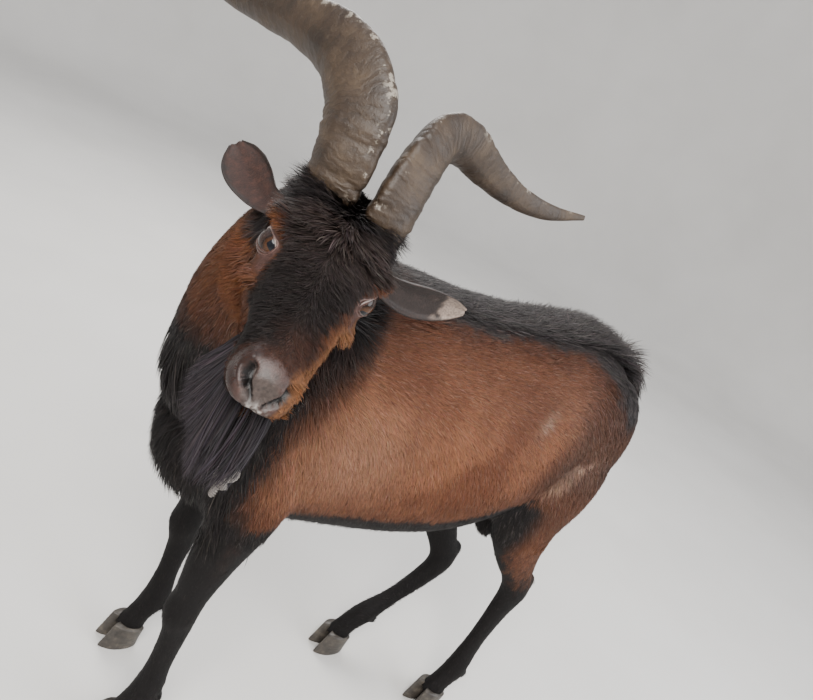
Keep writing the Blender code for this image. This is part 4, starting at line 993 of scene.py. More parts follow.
def face_colours(points):
    h = to_head(points)
    s, l, u = h.T
    fine, broad = waves(points, 0.010, 6), waves(points, 0.05, 7)
    colour = mix(np.tile(CHESTNUT * 0.70, (len(points), 1)), ORANGE * 0.85, 0.25 + 0.35 * broad + 0.15 * fine)
    # Dark hairs run through the cheek under the eye, toward the corner of the mouth
    line = -0.072 - 0.16 * (s - 0.12)
    stripe = np.exp(-(((u - line) / 0.012) ** 2)) * ease(0.105, 0.135, s) * ease(0.235, 0.200, s)
    colour = mix(colour, BLACK * 1.5, (0.75 + 0.35 * fine) * stripe)
    # Muzzle: dark red-brown round the nose, orange along the left lip and jaw
    colour = mix(colour, DARK_BROWN * 1.15, ease(0.205, 0.240, s) * ease(-0.120, -0.105, u))
    beside = ease(0.002, 0.008, l - np.interp(s, BLACK_PLACES, BLACK_LEFT))
    strip = np.maximum(beside, (l > 0.012) * ease(-0.062, -0.070, u))
    colour = mix(colour, STRIP_BROWN, strip * ease(0.10, 0.14, s) * ease(-0.125, -0.112, u))
    # Forehead and bridge, down to just above the nose
    left, right = np.interp(s, BLACK_PLACES, BLACK_LEFT), np.interp(s, BLACK_PLACES, BLACK_RIGHT)
    inside = np.minimum(left - l, right + l) + 0.004 * fine
    floor = np.where(l > 0, -0.062, -0.085)
    over = ease(-0.004, 0.007, inside) * ease(floor - 0.012, floor, u) * ease(0.268, 0.250, s + 0.003 * fine)
    over = np.maximum(over, ease(0.040, 0.010, s) * ease(-0.085, -0.065, u))
    reddish = np.exp(-(((s - 0.245) / 0.022) ** 2) - ((l - 0.006) / 0.014) ** 2) * 0.75
    crown = 0.95 + 3.0 * ease(0.19, 0.06, s) + 0.5 * ease(0.2, 1.0, broad)
    colour = colour + (BLACK * (1.15, 1.0, 0.90) * crown[:, None] - colour) * np.clip(over, 0, 1)[:, None]
    colour = mix(colour, DARK_BROWN * 1.3, reddish)
    # Dark again between eyes and ears
    colour = mix(colour, BLACK * 2.2, ease(0.088, 0.066, s) * ease(-0.095, -0.075, u))
    # Black-brown below the mouth and under the jaw, but not on the right side of the throat
    throat = ease(-0.126, -0.142, u + 0.003 * fine) * np.maximum(ease(0.10, 0.16, s), ease(-0.01, 0.02, l))
    colour = mix(colour, BLACK, throat)
    colour = mix(colour, BLACK * 1.3, ease(0.150, 0.185, s) * ease(-0.100, -0.110, u))
    # Rust round the eye, and bare skin on the lids and in the tear trough
    for way in HEAD_SIDES:
        ring = eye_ring(points, way)
        colour = mix(colour, ORANGE * 0.55, ease(2.2, 1.8, ring + 0.15 * fine) * 0.7)
        colour = mix(colour, PINK_SKIN * 0.50, ease(1.75, 1.45, ring + 0.10 * fine))
        trough = np.linalg.norm((h - np.array((0.140, 0.050 * way, -0.051))) * (0.60, 0.8, 1.3), axis=1)
        colour = mix(colour, PINK_SKIN * 0.38, ease(0.013, 0.006, trough) * 0.9)
    return colour


def pad_ring(points):
    """How far out from the middle of the nose's pad each point lies, 1 being its edge, 9 the rest of the goat."""
    s, l, u = to_head(points).T
    ring = np.sqrt(((l - PAD[0]) / PAD[2]) ** 2 + ((u - PAD[1]) / PAD[3]) ** 2)
    return np.where((s > 0.245) & (np.abs(l) < 0.06), ring + 0.03 * waves(points, 0.008, 8), 9.0)


def nose_share(points):
    """1 on the bare pad of the nose and on the lips' edges, 0 on the hairy face."""
    s, l, u = to_head(points).T
    ring = pad_ring(points)
    pad = ease(1.08, 0.95, ring) * ease(0.250, 0.258, s)
    wing = ease(1.75, 1.35, ring) * ease(-0.012, -0.020, l) * ease(0.252, 0.260, s) * 0.8
    lips = ease(0.205, 0.225, s) * np.exp(-(((u - mouth_height(s)) / 0.0024) ** 2)) * 0.8
    return np.maximum(np.maximum(pad, wing), lips)


def nose_colours(points):
    """Grey in the middle of the pad, pinkish round it, purple-brown on the wing, chipped pale by the mouth."""
    s, l, u = to_head(points).T
    ring = pad_ring(points)
    fine = waves(points, 0.005, 9)
    colour = mix(np.tile(NOSE_WING, (len(points), 1)), NOSE_RIM, ease(1.15, 0.90, ring))
    colour = mix(colour, NOSE_PAD, ease(0.95, 0.45, ring + 0.08 * fine))
    for side in HEAD_SIDES:
        hole, wing = nostril(np.stack([s, l, u], axis=1), side)
        colour = mix(colour, BLACK * 0.6, ease(0.08, 0.45, hole))
    chips = np.exp(-((l / 0.009) ** 2) - ((u + 0.093) / 0.0045) ** 2) * ease(0.1, 0.6, waves(points, 0.0028, 10))
    return mix(colour, NOSE_CHIP, chips * ease(0.26, 0.27, s))


def markings(points):
    """The hair's colour at each point of the whole goat."""
    colour = body_colours(points)
    on_neck, nearest = neck_colours(points)
    neck_share = ease(6, 12, nearest.astype(float))
    neck_share = neck_share * ease(-0.20, -0.235, points[:, 0]) * ease(0.66, 0.72, points[:, 2])
    colour = mix(colour, on_neck, neck_share)
    along, near = beyond_cut(points)
    head_share = ease(-0.022, 0.012, along) * near * (points[:, 2] > 0.74)
    colour = mix(colour, face_colours(points), head_share)
    return colour


def paint(obj, colours):
    """Stores a colour for each point, as the attribute that the materials read."""
    attribute = obj.data.color_attributes.new(name="hair", type="FLOAT_COLOR", domain="POINT")
    rows = np.ones((len(colours), 4), np.float32)
    rows[:, :3] = colours
    attribute.data.foreach_set("color", rows.ravel())


skin_points = coordinates(skin.data)
skin_colours = markings(skin_points)
bare = nose_share(skin_points)
skin_colours = skin_colours * 0.8
skin_colours = skin_colours + (nose_colours(skin_points) - skin_colours) * bare[:, None]
paint(skin, skin_colours)
attribute = skin.data.attributes.new("bare", "FLOAT", "POINT")
attribute.data.foreach_set("value", bare.astype(np.float32))

# %% [markdown]
# The skin's own material shows between the hairs, and on the nose, lids and lips. It takes the
# shared colours, is a little moist where it is bare, and has a leathery grain there.


# %% Skin material
def grain_group():
    """Fine grain shared by skin, lids, ears and rope: it darkens a colour and gives a height for bumps."""
    group = bpy.data.node_groups.new("fine_grain", "ShaderNodeTree")
    numbers = (("Scale", 260.0), ("Dark", 0.55), ("Light", 1.15))
    group.interface.new_socket("Place", in_out="INPUT", socket_type="NodeSocketVector")
    group.interface.new_socket("Color", in_out="INPUT", socket_type="NodeSocketColor")
    for name, value in numbers:
        group.interface.new_socket(name, in_out="INPUT", socket_type="NodeSocketFloat").default_value = value
    group.interface.new_socket("Color", in_out="OUTPUT", socket_type="NodeSocketColor")
    group.interface.new_socket("Height", in_out="OUTPUT", socket_type="NodeSocketFloat")
    wire = Wiring(group)
    given, result = wire.nodes.new("NodeGroupInput").outputs, wire.nodes.new("NodeGroupOutput").inputs
    height = wire.noise(given["Place"], given["Scale"], 3.0, 0.5)
    shade = wire.nodes.new("ShaderNodeMapRange")
    ends = (("Value", height), ("From Min", 0.3), ("From Max", 0.7), ("To Min", given["Dark"]), ("To Max", given["Light"]))
    for name, value in ends:
        wire.feed(shade.inputs[name], value)
    wire.feed(result["Color"], wire.tint("MULTIPLY", 1.0, given["Color"], shade.outputs["Result"]))
    wire.feed(result["Height"], height)
    return group


FINE_GRAIN = grain_group()


def grained(wire, place, colour, scale, dark, light):
    """The shared grain over a colour: the grained colour and the grain's height."""
    grain = wire.nodes.new("ShaderNodeGroup")
    grain.node_tree = FINE_GRAIN
    for name, value in (("Place", place), ("Color", colour), ("Scale", scale), ("Dark", dark), ("Light", light)):
        wire.feed(grain.inputs[name], value)
    return grain.outputs["Color"], grain.outputs["Height"]


skin_look, wire, shader = new_material("goat_skin")
place = wire.place()
hair = wire.attribute("hair")
is_bare = wire.attribute("bare", "Fac")
colour, speckle = grained(wire, place, hair, 260.0, 0.55, 1.15)
wire.feed(shader["Base Color"], colour)
wire.feed(shader["Roughness"], wire.math("MULTIPLY_ADD", is_bare, -0.27, 0.75))
wire.feed(shader["Specular IOR Level"], 0.20)
wire.feed(shader["Coat Roughness"], 0.42)
wire.feed(shader["Coat Weight"], wire.math("MULTIPLY", is_bare, 0.35))
pores = wire.nodes.new("ShaderNodeTexVoronoi")
wire.feed(pores.inputs["Scale"], 620.0)
wire.feed(pores.inputs["Vector"], place)
grain = wire.math("MULTIPLY", pores.outputs["Distance"], is_bare)
height = wire.math("MULTIPLY_ADD", speckle, 0.5, grain)
wire.feed(shader["Normal"], wire.bump(height, 0.55, 0.0006))
skin.data.materials.clear()
skin.data.materials.append(skin_look)

# %% [markdown]
# ## Eyes
# A goat's eye is a brown globe with a wide, dark, level slit for a pupil. The sphere carries two
# numbers for each point, along and across the slit, and the material draws the iris from them.


# %% Eyeballs and lids
GAZE_TURNS = {HEAD_LEFT: (0.12, 0.0, -0.16), HEAD_RIGHT: (0.02, 0.04, 0.0)}
IRIS_REACH = 0.0122


def eyeball(side):
    looks, slit, across = eye_axes(side)
    centre = eye_place(side)
    obj = egg(centre, (slit, across, looks), (EYE_RADIUS,) * 3, 48, 64)
    obj.name = obj.data.name = f"eyeball_{HEAD_SIDES[side]}"
    points = coordinates(obj.data)
    away = points - centre
    # The goat turns its eye in the socket, so the iris lies off the middle of the opening
    gaze = unit(looks + head_direction(*GAZE_TURNS[side]))
    slit = unit(slit - gaze * slit.dot(gaze))
    across = np.cross(gaze, slit)
    a, b, d = away @ slit, away @ across, away @ gaze
    # The clear front bulges a little over the iris
    bulge = np.exp(-((a / 0.0085) ** 2) - (b / 0.0085) ** 2) * (d > 0)
    set_coordinates(obj.data, points + np.outer(0.0009 * bulge, gaze))
    rows = np.ones((len(points), 4), np.float32)
    rows[:, 0], rows[:, 1], rows[:, 2] = a / IRIS_REACH, b / IRIS_REACH, d > 0
    attribute = obj.data.color_attributes.new(name="gaze", type="FLOAT_COLOR", domain="POINT")
    attribute.data.foreach_set("color", rows.ravel())
    bpy.ops.object.shade_smooth()
    return obj


IRIS_TONES = (
    (0.0, (0.03, 0.012, 0.006)),
    (0.45, (0.075, 0.030, 0.012)),
    (0.78, (0.045, 0.019, 0.009)),
    (0.92, (0.010, 0.007, 0.006)),
    (1.0, (0.030, 0.018, 0.015)),
)
IRIS_STREAKS = ((0.35, (0.5, 0.5, 0.5)), (0.65, (1.3, 1.3, 1.3)))
PUPIL = (0.006, 0.007, 0.010)
PUPIL_LONG, PUPIL_TALL = 0.66, 0.40

eye_look, wire, shader = new_material("goat_eye")
along, across = wire.split(wire.attribute("gaze"))[:2]
squares = [wire.math("MULTIPLY", part, part) for part in (along, across)]
radius = wire.math("SQRT", wire.math("ADD", *squares))
iris = wire.ramp(radius, IRIS_TONES)
# The pupil is a rounded oblong: the fourth powers of both ways, added
flat = wire.math("POWER", wire.math("ABSOLUTE", wire.math("DIVIDE", along, PUPIL_LONG)), 4.0)
tall = wire.math("POWER", wire.math("ABSOLUTE", wire.math("DIVIDE", across, PUPIL_TALL)), 4.0)
slit_edge = wire.ramp(wire.math("ADD", flat, tall), ((0.75, (1, 1, 1)), (1.0, (0, 0, 0))))
streaks = wire.noise(wire.attribute("gaze", "Vector"), 9.0, 5.0, 0.5)
iris = wire.tint("MULTIPLY", 0.7, iris, wire.ramp(streaks, IRIS_STREAKS))
wire.feed(shader["Base Color"], wire.tint("MIX", slit_edge, iris, PUPIL))
wire.feed(shader["Roughness"], 0.06)
wire.feed(shader["Specular IOR Level"], 0.22)
wire.feed(shader["Coat Weight"], 0.08)
wire.feed(shader["Coat Roughness"], 0.02)


# Each fold of the lids: upper or not, how far outside the opening, its half width and height, its colour
LID_FOLDS = (
    (True, 0.0003, 0.0012, 0.0013, (0.300, 0.235, 0.215)),
    (True, 0.0030, 0.0013, 0.0010, (0.170, 0.105, 0.092)),
    (False, 0.0003, 0.0009, 0.0009, (0.075, 0.044, 0.036)),
    (False, 0.0028, 0.0012, 0.0009, (0.080, 0.038, 0.030)),
)
face_tree = BVHTree.FromObject(skin, bpy.context.evaluated_depsgraph_get())


def lid_fold(side, upper, outside, half_wide, half_thick, tint):
    """A thin rounded fold of skin along one half of the eye's opening, fullest in its middle."""
    looks, slit, across = eye_axes(side)
    centre = eye_place(side)
    sign = (1 if upper else -1) * (1 if across @ HEAD_TURN[:, 2] > 0 else -1)
    rings = []
    steps = 36
    for i in range(steps):
        turn = math.pi * (-0.03 + 1.06 * i / (steps - 1))
        fat = 0.30 + 0.70 * math.sin(min(max(turn, 0), math.pi)) ** 0.6
        a = (OPENING[0] + outside * 0.5) * math.cos(turn)
        b = (OPENING[1] + outside) * math.sin(turn) * sign
        depth = math.sqrt(max(EYE_RADIUS**2 - a * a - b * b, 1e-8))
        point = centre + slit * a + across * b + looks * (depth + 0.0005)
        if outside > 0.001:
            point = np.array(face_tree.find_nearest(Vector(point))[0])
        out = unit(slit * a / OPENING[0] ** 2 + across * b / OPENING[1] ** 2)
        normal = unit(point - centre)
        out = unit(out - normal * out.dot(normal))
        wide, thick = half_wide * fat, half_thick * fat
        rings.append(oval(point + out * wide * 0.6, out, normal, wide, thick, thick, 12))
    obj = loft("lid_fold", rings)
    obj.data.polygons.foreach_set("use_smooth", np.ones(len(obj.data.polygons), bool))
    points = coordinates(obj.data)
    paint(obj, np.tile(tint, (len(points), 1)) * (1 + 0.15 * waves(points, 0.005, 11))[:, None])
    return obj


lid_look, wire, shader = new_material("eyelid")
place = wire.place()
colour, fold = grained(wire, place, wire.attribute("hair"), 900.0, 0.73, 1.08)
wire.feed(shader["Base Color"], colour)
wire.feed(shader["Roughness"], 0.34)
wire.feed(shader["Normal"], wire.bump(fold, 0.4, 0.0004))

eyes, lids = [], []
for side in HEAD_SIDES:
    eye = eyeball(side)
    eye.data.materials.append(eye_look)
    eyes.append(eye)
    lid = join([lid_fold(side, *fold) for fold in LID_FOLDS], f"lids_{HEAD_SIDES[side]}")
    lid.data.materials.clear()
    lid.data.materials.append(lid_look)
    lids.append(lid)

# %% [markdown]
# ## Horns
# Each horn is a long cone that sweeps up, back and out, with a keel on its front edge. It grows in
# waves, so it is ringed from root to tip, with fine lines between the rings, and the keel is
# chipped pale. The rings are real shape here, and the finest lines are left to the material.

# %% Horns
HORNS = {
    HEAD_LEFT: (
        (0.034, 0.036, -0.022, 0.034, 0.024),
        (0.031, 0.036, 0.024, 0.036, 0.025),
        (0.019, 0.034, 0.054, 0.036, 0.025),
        (-0.004, 0.036, 0.083, 0.035, 0.024),
        (-0.036, 0.044, 0.108, 0.034, 0.022),
        (-0.072, 0.074, 0.111, 0.029, 0.019),
        (-0.108, 0.123, 0.095, 0.023, 0.0155),
        (-0.142, 0.177, 0.084, 0.018, 0.0125),
        (-0.172, 0.233, 0.086, 0.013, 0.0095),
        (-0.196, 0.287, 0.104, 0.004, 0.0035),
    ),
    HEAD_RIGHT: (
        (0.029, -0.029, -0.026, 0.035, 0.026),
        (0.026, -0.030, 0.017, 0.038, 0.029),
        (0.016, -0.036, 0.056, 0.043, 0.032),
        (-0.008, -0.050, 0.094, 0.048, 0.033),
        (-0.046, -0.089, 0.117, 0.042, 0.028),
        (-0.087, -0.142, 0.112, 0.031, 0.021),
        (-0.130, -0.193, 0.094, 0.024, 0.016),
        (-0.171, -0.240, 0.077, 0.018, 0.0125),
        (-0.210, -0.283, 0.068, 0.012, 0.009),
        (-0.234, -0.316, 0.076, 0.004, 0.0035),
    ),
}
HORN_RINGS, HORN_SIDES = 300, 56
HORN_RIDGES = 13
RIDGE_HEIGHT = 0.026


def horn(side):
    read = smooth_rows(HORNS[side], HORN_RINGS)
    centres = np.array([on_head(*r[:3]) for r in read])
    along = unit(np.gradient(centres, axis=0))
    way = np.linspace(0, 1, HORN_RINGS)
    angle = 2 * math.pi * np.arange(HORN_SIDES) / HORN_SIDES
    c, s = np.cos(angle), np.sin(angle)
    chance = np.random.default_rng(40 + side)
    jitter = np.interp(way, np.linspace(0, 1, 30), chance.uniform(-0.75, 0.75, 30))
    heights = np.interp(way, np.linspace(0, 1, 24), chance.uniform(0.35, 1.3, 24))
    rings, grown, keels = [], [], []
    for i, row in enumerate(read):
        keel = head_direction(0.70 - 0.35 * way[i], -0.62 * side * (1 - way[i]), 0.10 + 1.1 * way[i])
        keel = unit(keel - along[i] * keel.dot(along[i]))
        flat = np.cross(along[i], keel)
        phase = 2 * math.pi * HORN_RIDGES * way[i] ** 0.85 + jitter[i] * 2
        wave = np.cos(phase + 0.5 * np.sin(angle * 2 + 1.0))
        fade = (1 - 0.6 * way[i]) * heights[i]
        tall = RIDGE_HEIGHT * fade * (0.75 * wave + 0.25 * wave**3)
        fine = 0.0035 * fade * np.sin(phase * 5 + 1.3 * np.sin(3 * angle + 9 * way[i]))
        rough = 0.013 * fade * np.sin(37 * way[i] + 5 * angle) * np.sin(211 * way[i] + 2 * angle)
        chips = np.maximum(0, c) ** 6 * -0.05 * max(0, math.sin(phase * 0.5 + 4 * jitter[i]) - 0.55) * fade
        size = (1 + tall + fine + rough + chips) * HEAD_SCALE
        narrow = 1 - 0.42 * np.maximum(0, c)
        ring = centres[i] + np.outer(c * row[3] * size, keel) + np.outer(s * narrow * row[4] * size, flat)
        rings.append(ring)
        grown.append(np.full(HORN_SIDES, way[i]))
        keels.append(np.maximum(0, c) ** 5)
    obj = loft(f"horn_{HEAD_SIDES[side]}_ringed", rings)
    obj.data.polygons.foreach_set("use_smooth", np.ones(len(obj.data.polygons), bool))
    rows = np.ones((HORN_RINGS * HORN_SIDES, 4), np.float32)
    rows[:, 0] = np.concatenate(grown)
    rows[:, 1] = np.concatenate(keels)
    rows[:, 2] = np.tile(angle / (2 * math.pi), HORN_RINGS)
    attribute = obj.data.color_attributes.new(name="growth", type="FLOAT_COLOR", domain="POINT")
    attribute.data.foreach_set("color", rows.ravel())
    return obj


HORN_TONES = (
    (0.28, (0.013, 0.0072, 0.0036)),
    (0.45, (0.030, 0.0172, 0.0086)),
    (0.58, (0.046, 0.0280, 0.0148)),
    (0.75, (0.082, 0.054, 0.031)),
)
LINE_TONES = ((0.0, (0.62, 0.60, 0.58)), (0.35, (1, 1, 1)))
HORN_FLAKE, HORN_CHIP = (0.072, 0.054, 0.037), (0.24, 0.21, 0.17)

horn_look, wire, shader = new_material("ringed_horn")
place = wire.place()
way, keel_share = wire.split(wire.attribute("growth"))[:2]
stain = wire.noise(place, 26.0, 6.0, 0.65)
colour = wire.ramp(stain, HORN_TONES)
# Fine lines of growth, bent by the stain
lines = wire.math("SINE", wire.math("MULTIPLY_ADD", stain, 34.0, wire.math("MULTIPLY", way, 300.0)))
dark_lines = wire.ramp(wire.math("MULTIPLY_ADD", lines, 0.5, 0.5), LINE_TONES)
colour = wire.tint("MULTIPLY", 0.45, colour, dark_lines)
flake = wire.noise(place, 95.0, 5.0, 0.7)
flakes = wire.math("MULTIPLY", wire.mask(flake, 0.60, 0.68), 0.35)
colour = wire.tint("MIX", flakes, colour, HORN_FLAKE)
chip_place = wire.noise(place, 60.0, 4.0, 0.7)
chip = wire.math("MULTIPLY", wire.mask(chip_place, 0.57, 0.62), wire.mask(keel_share, 0.35, 0.9))
colour = wire.tint("MIX", chip, colour, HORN_CHIP)
wire.feed(shader["Base Color"], colour)
wire.feed(shader["Roughness"], wire.math("MULTIPLY_ADD", stain, 0.35, 0.36))
# Lines and flakes both raise the surface
relief = wire.math("ADD", wire.math("MULTIPLY", lines, 0.25), wire.math("MULTIPLY", flake, 1.2))
wire.feed(shader["Normal"], wire.bump(relief, 0.6, 0.0010))

horns = [horn(side) for side in HEAD_SIDES]
for obj in horns:
    obj.data.materials.append(horn_look)

# %% [markdown]
# ## Ears
# An ear is a cupped leaf of skin and gristle, a few millimetres thick. Rings of an outer and an
# inner arc are lofted along its middle line. The hollow is nearly bare, so it shows its skin.

# %% Ears
EARS = {
    HEAD_LEFT: (
        (-0.006, 0.054, -0.054, 0.0130, 0.0),
        (-0.003, 0.082, -0.060, 0.0165, 0.004),
        (-0.003, 0.106, -0.061, 0.0220, 0.011),
        (-0.008, 0.130, -0.059, 0.0260, 0.012),
        (-0.016, 0.154, -0.054, 0.0240, 0.010),
        (-0.024, 0.175, -0.048, 0.0170, 0.006),
        (-0.030, 0.191, -0.043, 0.0060, 0.001),
    ),
    HEAD_RIGHT: (
        (-0.002, -0.052, -0.050, 0.0130, 0.0),
        (-0.009, -0.075, -0.054, 0.0160, 0.004),
        (-0.024, -0.090, -0.057, 0.0215, 0.010),
        (-0.043, -0.106, -0.057, 0.0265, 0.012),
        (-0.064, -0.121, -0.057, 0.0275, 0.010),
        (-0.085, -0.134, -0.055, 0.0215, 0.006),
        (-0.101, -0.144, -0.053, 0.0085, 0.001),
    ),
}
EAR_OPENS = {HEAD_LEFT: (0.88, 0.02, -0.22), HEAD_RIGHT: (0.90, 0.0, 0.30)}
EAR_THICKNESS = 0.0038
EAR_RINGS, EAR_ARC = 60, 22
EAR_WARMTH = (1.0, 0.88, 0.78)


def ear(side):
    read = smooth_rows(EARS[side], EAR_RINGS)
    centres = np.array([on_head(*r[:3]) for r in read])
    along = unit(np.gradient(centres, axis=0))
    outer = np.radians(np.linspace(-90, 90, EAR_ARC))
    inner = outer[1:-1][::-1]
    rings, hollow, way = [], [], []
    for i, row in enumerate(read):
        opens = head_direction(*EAR_OPENS[side])
        opens = unit(opens - along[i] * opens.dot(along[i]))
        wide = np.cross(along[i], opens)
        width, cup = max(row[3], 0.003) * HEAD_SCALE, max(row[4], 0.0)
        t = i / (EAR_RINGS - 1)
        solid = max(EAR_THICKNESS * (1 - 0.45 * t), 0.016 * (1 - t * 3.4))
        ripple = 0.0007 * np.sin(inner * 5 + 2.0) * min(1.0, 3 * t)
        back = centres[i] + np.outer(np.sin(outer) * width, wide)
        back -= np.outer(np.cos(outer) * (cup + solid), opens)
        front = centres[i] + np.outer(np.sin(inner) * width * 0.93, wide)
        front -= np.outer(np.cos(inner) * cup + ripple, opens)
        rings.append(np.vstack([back, front]))
        hollow += [0.0] * EAR_ARC + list(np.cos(inner) ** 0.5)
        way += [t] * (2 * EAR_ARC - 2)
    obj = loft(f"ear_{HEAD_SIDES[side]}_cupped", rings)
    obj.data.polygons.foreach_set("use_smooth", np.ones(len(obj.data.polygons), bool))
    hollow, way = np.array(hollow), np.array(way)
    points = coordinates(obj.data)
    rough = waves(points, 0.012, 12)
    inside = np.array((0.034, 0.0145, 0.0105)) if side == HEAD_RIGHT else np.array((0.019, 0.0115, 0.0105))
    colours = mix(np.tile(BLACK * 2.0, (len(points), 1)), DARK_BROWN, 0.5 + 0.3 * rough)
    colours = mix(colours, inside, ease(0.45, 0.85, hollow + 0.1 * rough))
    colours = mix(colours, inside * 1.6, ease(0.6, 1.0, hollow) * ease(0.1, 0.9, rough))
    if side == HEAD_LEFT:
        tip = ease(0.70, 0.80, way + 0.03 * rough) * ease(0.15, 0.5, hollow)
        colours = mix(colours, np.array((0.30, 0.26, 0.24)), tip)
    paint(obj, colours * EAR_WARMTH)
    return obj


ear_look, wire, shader = new_material("ear_skin")
place = wire.place()
colour, fuzz = grained(wire, place, wire.attribute("hair"), 420.0, 0.5, 1.05)
wire.feed(shader["Base Color"], colour)
wire.feed(shader["Roughness"], 0.62)
wire.feed(shader["Normal"], wire.bump(fuzz, 0.7, 0.0008))
ears = [ear(side) for side in HEAD_SIDES]
for obj in ears:
    obj.data.materials.append(ear_look)

# %% [markdown]
# ## Hooves
# A goat stands on two claws on each foot. Each is a horny wedge, pointed at the toe, with growth
# lines round it. The rings below follow the solids' own sizes, with more of them and rounder.

# %% Hooves
CLEFT, CLAW_HALF_WIDTH = 0.0040, 0.0128
CLAW_LEVELS = ((0.0, -0.012, 0.0335, 1.0), (0.020, -0.008, 0.0300, 1.0), (0.058, 0.002, 0.0240, 0.92))
CLAW_TOP = 0.047
CLAW_SLANT = 0.18


def claw(name, rows, inner):
    x, y = rows[-1][:2]
    side = -1 if y < 0 else 1
    middle = y + (CLEFT / 2 + CLAW_HALF_WIDTH) * side * (-1 if inner else 1)
    sides = 40
    angle = 2 * math.pi * np.arange(sides) / sides
    rings = []
    levels = smooth_rows(CLAW_LEVELS, 40)
    for z, back, long, wide in levels[levels[:, 0] <= CLAW_TOP]:
        low_edge = 1 - 0.10 * max(0, 1 - z / 0.003) ** 2
        ridge = 1 + 0.010 * math.sin(z * 900) * ease(0.004, 0.010, z)
        across = np.sin(angle) * CLAW_HALF_WIDTH * wide * low_edge * ridge
        forward = -np.cos(angle) * long * ridge * low_edge
        pinch = 1.0 - 0.45 * np.maximum(0.0, np.cos(angle)) ** 2
        slant = -CLAW_SLANT * (back + forward) * ease(0.015, CLAW_TOP, z)
        rings.append(np.stack([x + back + forward, middle + across * pinch, z + slant], axis=1))
    obj = loft(f"hoof_{name}", rings)
    obj.data.polygons.foreach_set("use_smooth", np.ones(len(obj.data.polygons), bool))
    return obj


HOOF_TONES = ((0.3, (0.018, 0.015, 0.013)), (0.55, (0.050, 0.042, 0.034)), (0.78, (0.125, 0.105, 0.082)))

hoof_look, wire, shader = new_material("hoof_horn")
place = wire.place()
stain = wire.noise(place, 60.0, 5.0, 0.65)
wire.feed(shader["Base Color"], wire.ramp(stain, HOOF_TONES))
wire.feed(shader["Roughness"], wire.math("MULTIPLY_ADD", stain, 0.35, 0.30))
stretch = wire.nodes.new("ShaderNodeMapping")
wire.feed(stretch.inputs["Scale"], (30.0, 30.0, 420.0))
wire.feed(stretch.inputs["Vector"], place)
rings_of_growth = wire.noise(stretch.outputs["Vector"], 1.0, 3.0)
wire.feed(shader["Normal"], wire.bump(rings_of_growth, 0.5, 0.0007))

hooves = []
for name, rows in LEG_ROWS.items():
    for place_name, inner in (("inner", True), ("outer", False)):
        hoof = claw(f"{name}_{place_name}", rows, inner)
        hoof.data.materials.append(hoof_look)
        hooves.append((hoof, f"claw_{name}_{place_name}"))

# %% [markdown]
# ## Rope
# The goat wears a rope round the base of its neck, tied in a knot at the throat. The loop's middle
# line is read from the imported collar, and three strands are wound round that line.

# %% Rope collar
ROPE_RADIUS = 0.0062
STRANDS, TWISTS = 3, 46
# Level, forward and to the goat's right: the way that the beard sweeps
SWEEP = np.array((-0.788, 0.616, 0.0))
KNOT_LIFT, KNOT_SHIFT = 0.014, 0.018


def collar_line(steps=28):
    """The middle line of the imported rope, from the mean of each ring of its points."""
    collar = np.unique(coordinates(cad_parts["collar"].data).round(6), axis=0) - MOVE
    centre = collar.mean(axis=0)
    _, _, axes = np.linalg.svd(collar - centre, full_matrices=False)
    first, second = axes[0], axes[1]
    angle = np.arctan2((collar - centre) @ second, (collar - centre) @ first)
    line = []
    for i in range(steps):
        low_angle = -math.pi + 2 * math.pi * i / steps
        inside = (angle >= low_angle) & (angle < low_angle + 2 * math.pi / steps)
        if inside.any():
            line.append(collar[inside].mean(axis=0))
    line = np.array(line)
    for _ in range(4):
        line = (np.roll(line, 1, 0) + 2 * line + np.roll(line, -1, 0)) / 4
    return line, axes[2]


def closed_curve(points, count):
    """A smooth closed line through the points, at evenly spaced places."""
    rows = np.vstack([points, points[:3]])
    read = smooth_rows(np.vstack([points[-1:], rows]), (len(rows)) * 24)
    read = read[24 : 24 + len(points) * 24]
    looped = np.vstack([read, read[:1]])
    length = np.concatenate([[0], np.cumsum(np.linalg.norm(np.diff(looped, axis=0), axis=1))])
    wanted = np.linspace(0, length[-1], count, endpoint=False)
    return np.stack([np.interp(wanted, length, looped[:, k]) for k in range(3)], axis=1)


def strand(name, line, normal, start, radius, away, twists, closed=True):
    """One strand of the rope: a tube that winds round the line."""
    count = len(line)
    along = unit(np.roll(line, -1, 0) - np.roll(line, 1, 0)) if closed else unit(np.gradient(line, axis=0))
    out = unit(np.cross(along, normal))
    up = np.cross(out, along)
    turn = start + 2 * math.pi * twists * np.arange(count) / count
    centre = line + out * (np.cos(turn) * away)[:, None] + up * (np.sin(turn) * away)[:, None]
    rings = []
    for i in range(count):
        rings.append(oval(centre[i], out[i], up[i], radius, radius, radius, 9))
    return loft(name, rings, closed)


line, loop_normal = collar_line()
line = closed_curve(line, 760)
ropes = [
    strand("strand", line, loop_normal, 2 * math.pi * i / STRANDS, ROPE_RADIUS * 0.52, ROPE_RADIUS * 0.50, TWISTS)
    for i in range(STRANDS)
]
rope = join(ropes, "rope_collar")
bpy.ops.object.shade_smooth()


def wound(name, points, count=120, twists=9, size=1.0):
    """An open piece of the same rope through the points."""
    middle = smooth_rows(points, count)
    away = unit(middle.mean(axis=0) - line.mean(axis=0))
    radius, out = ROPE_RADIUS * 0.50 * size, ROPE_RADIUS * 0.46 * size
    pieces = []
    for i in range(STRANDS):
        pieces.append(strand("strand", middle, away, 2 * math.pi * i / STRANDS, radius, out, twists, False))
    return join(pieces, name)


low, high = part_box("collar_knot")
knot_middle = np.array((low + high) / 2) - MOVE
knot_out = unit(knot_middle - line.mean(axis=0))
nearest = np.linalg.norm(line - knot_middle, axis=1).argmin()
knot_along = unit(line[(nearest + 4) % len(line)] - line[nearest - 4])
knot_up = np.cross(knot_along, knot_out)
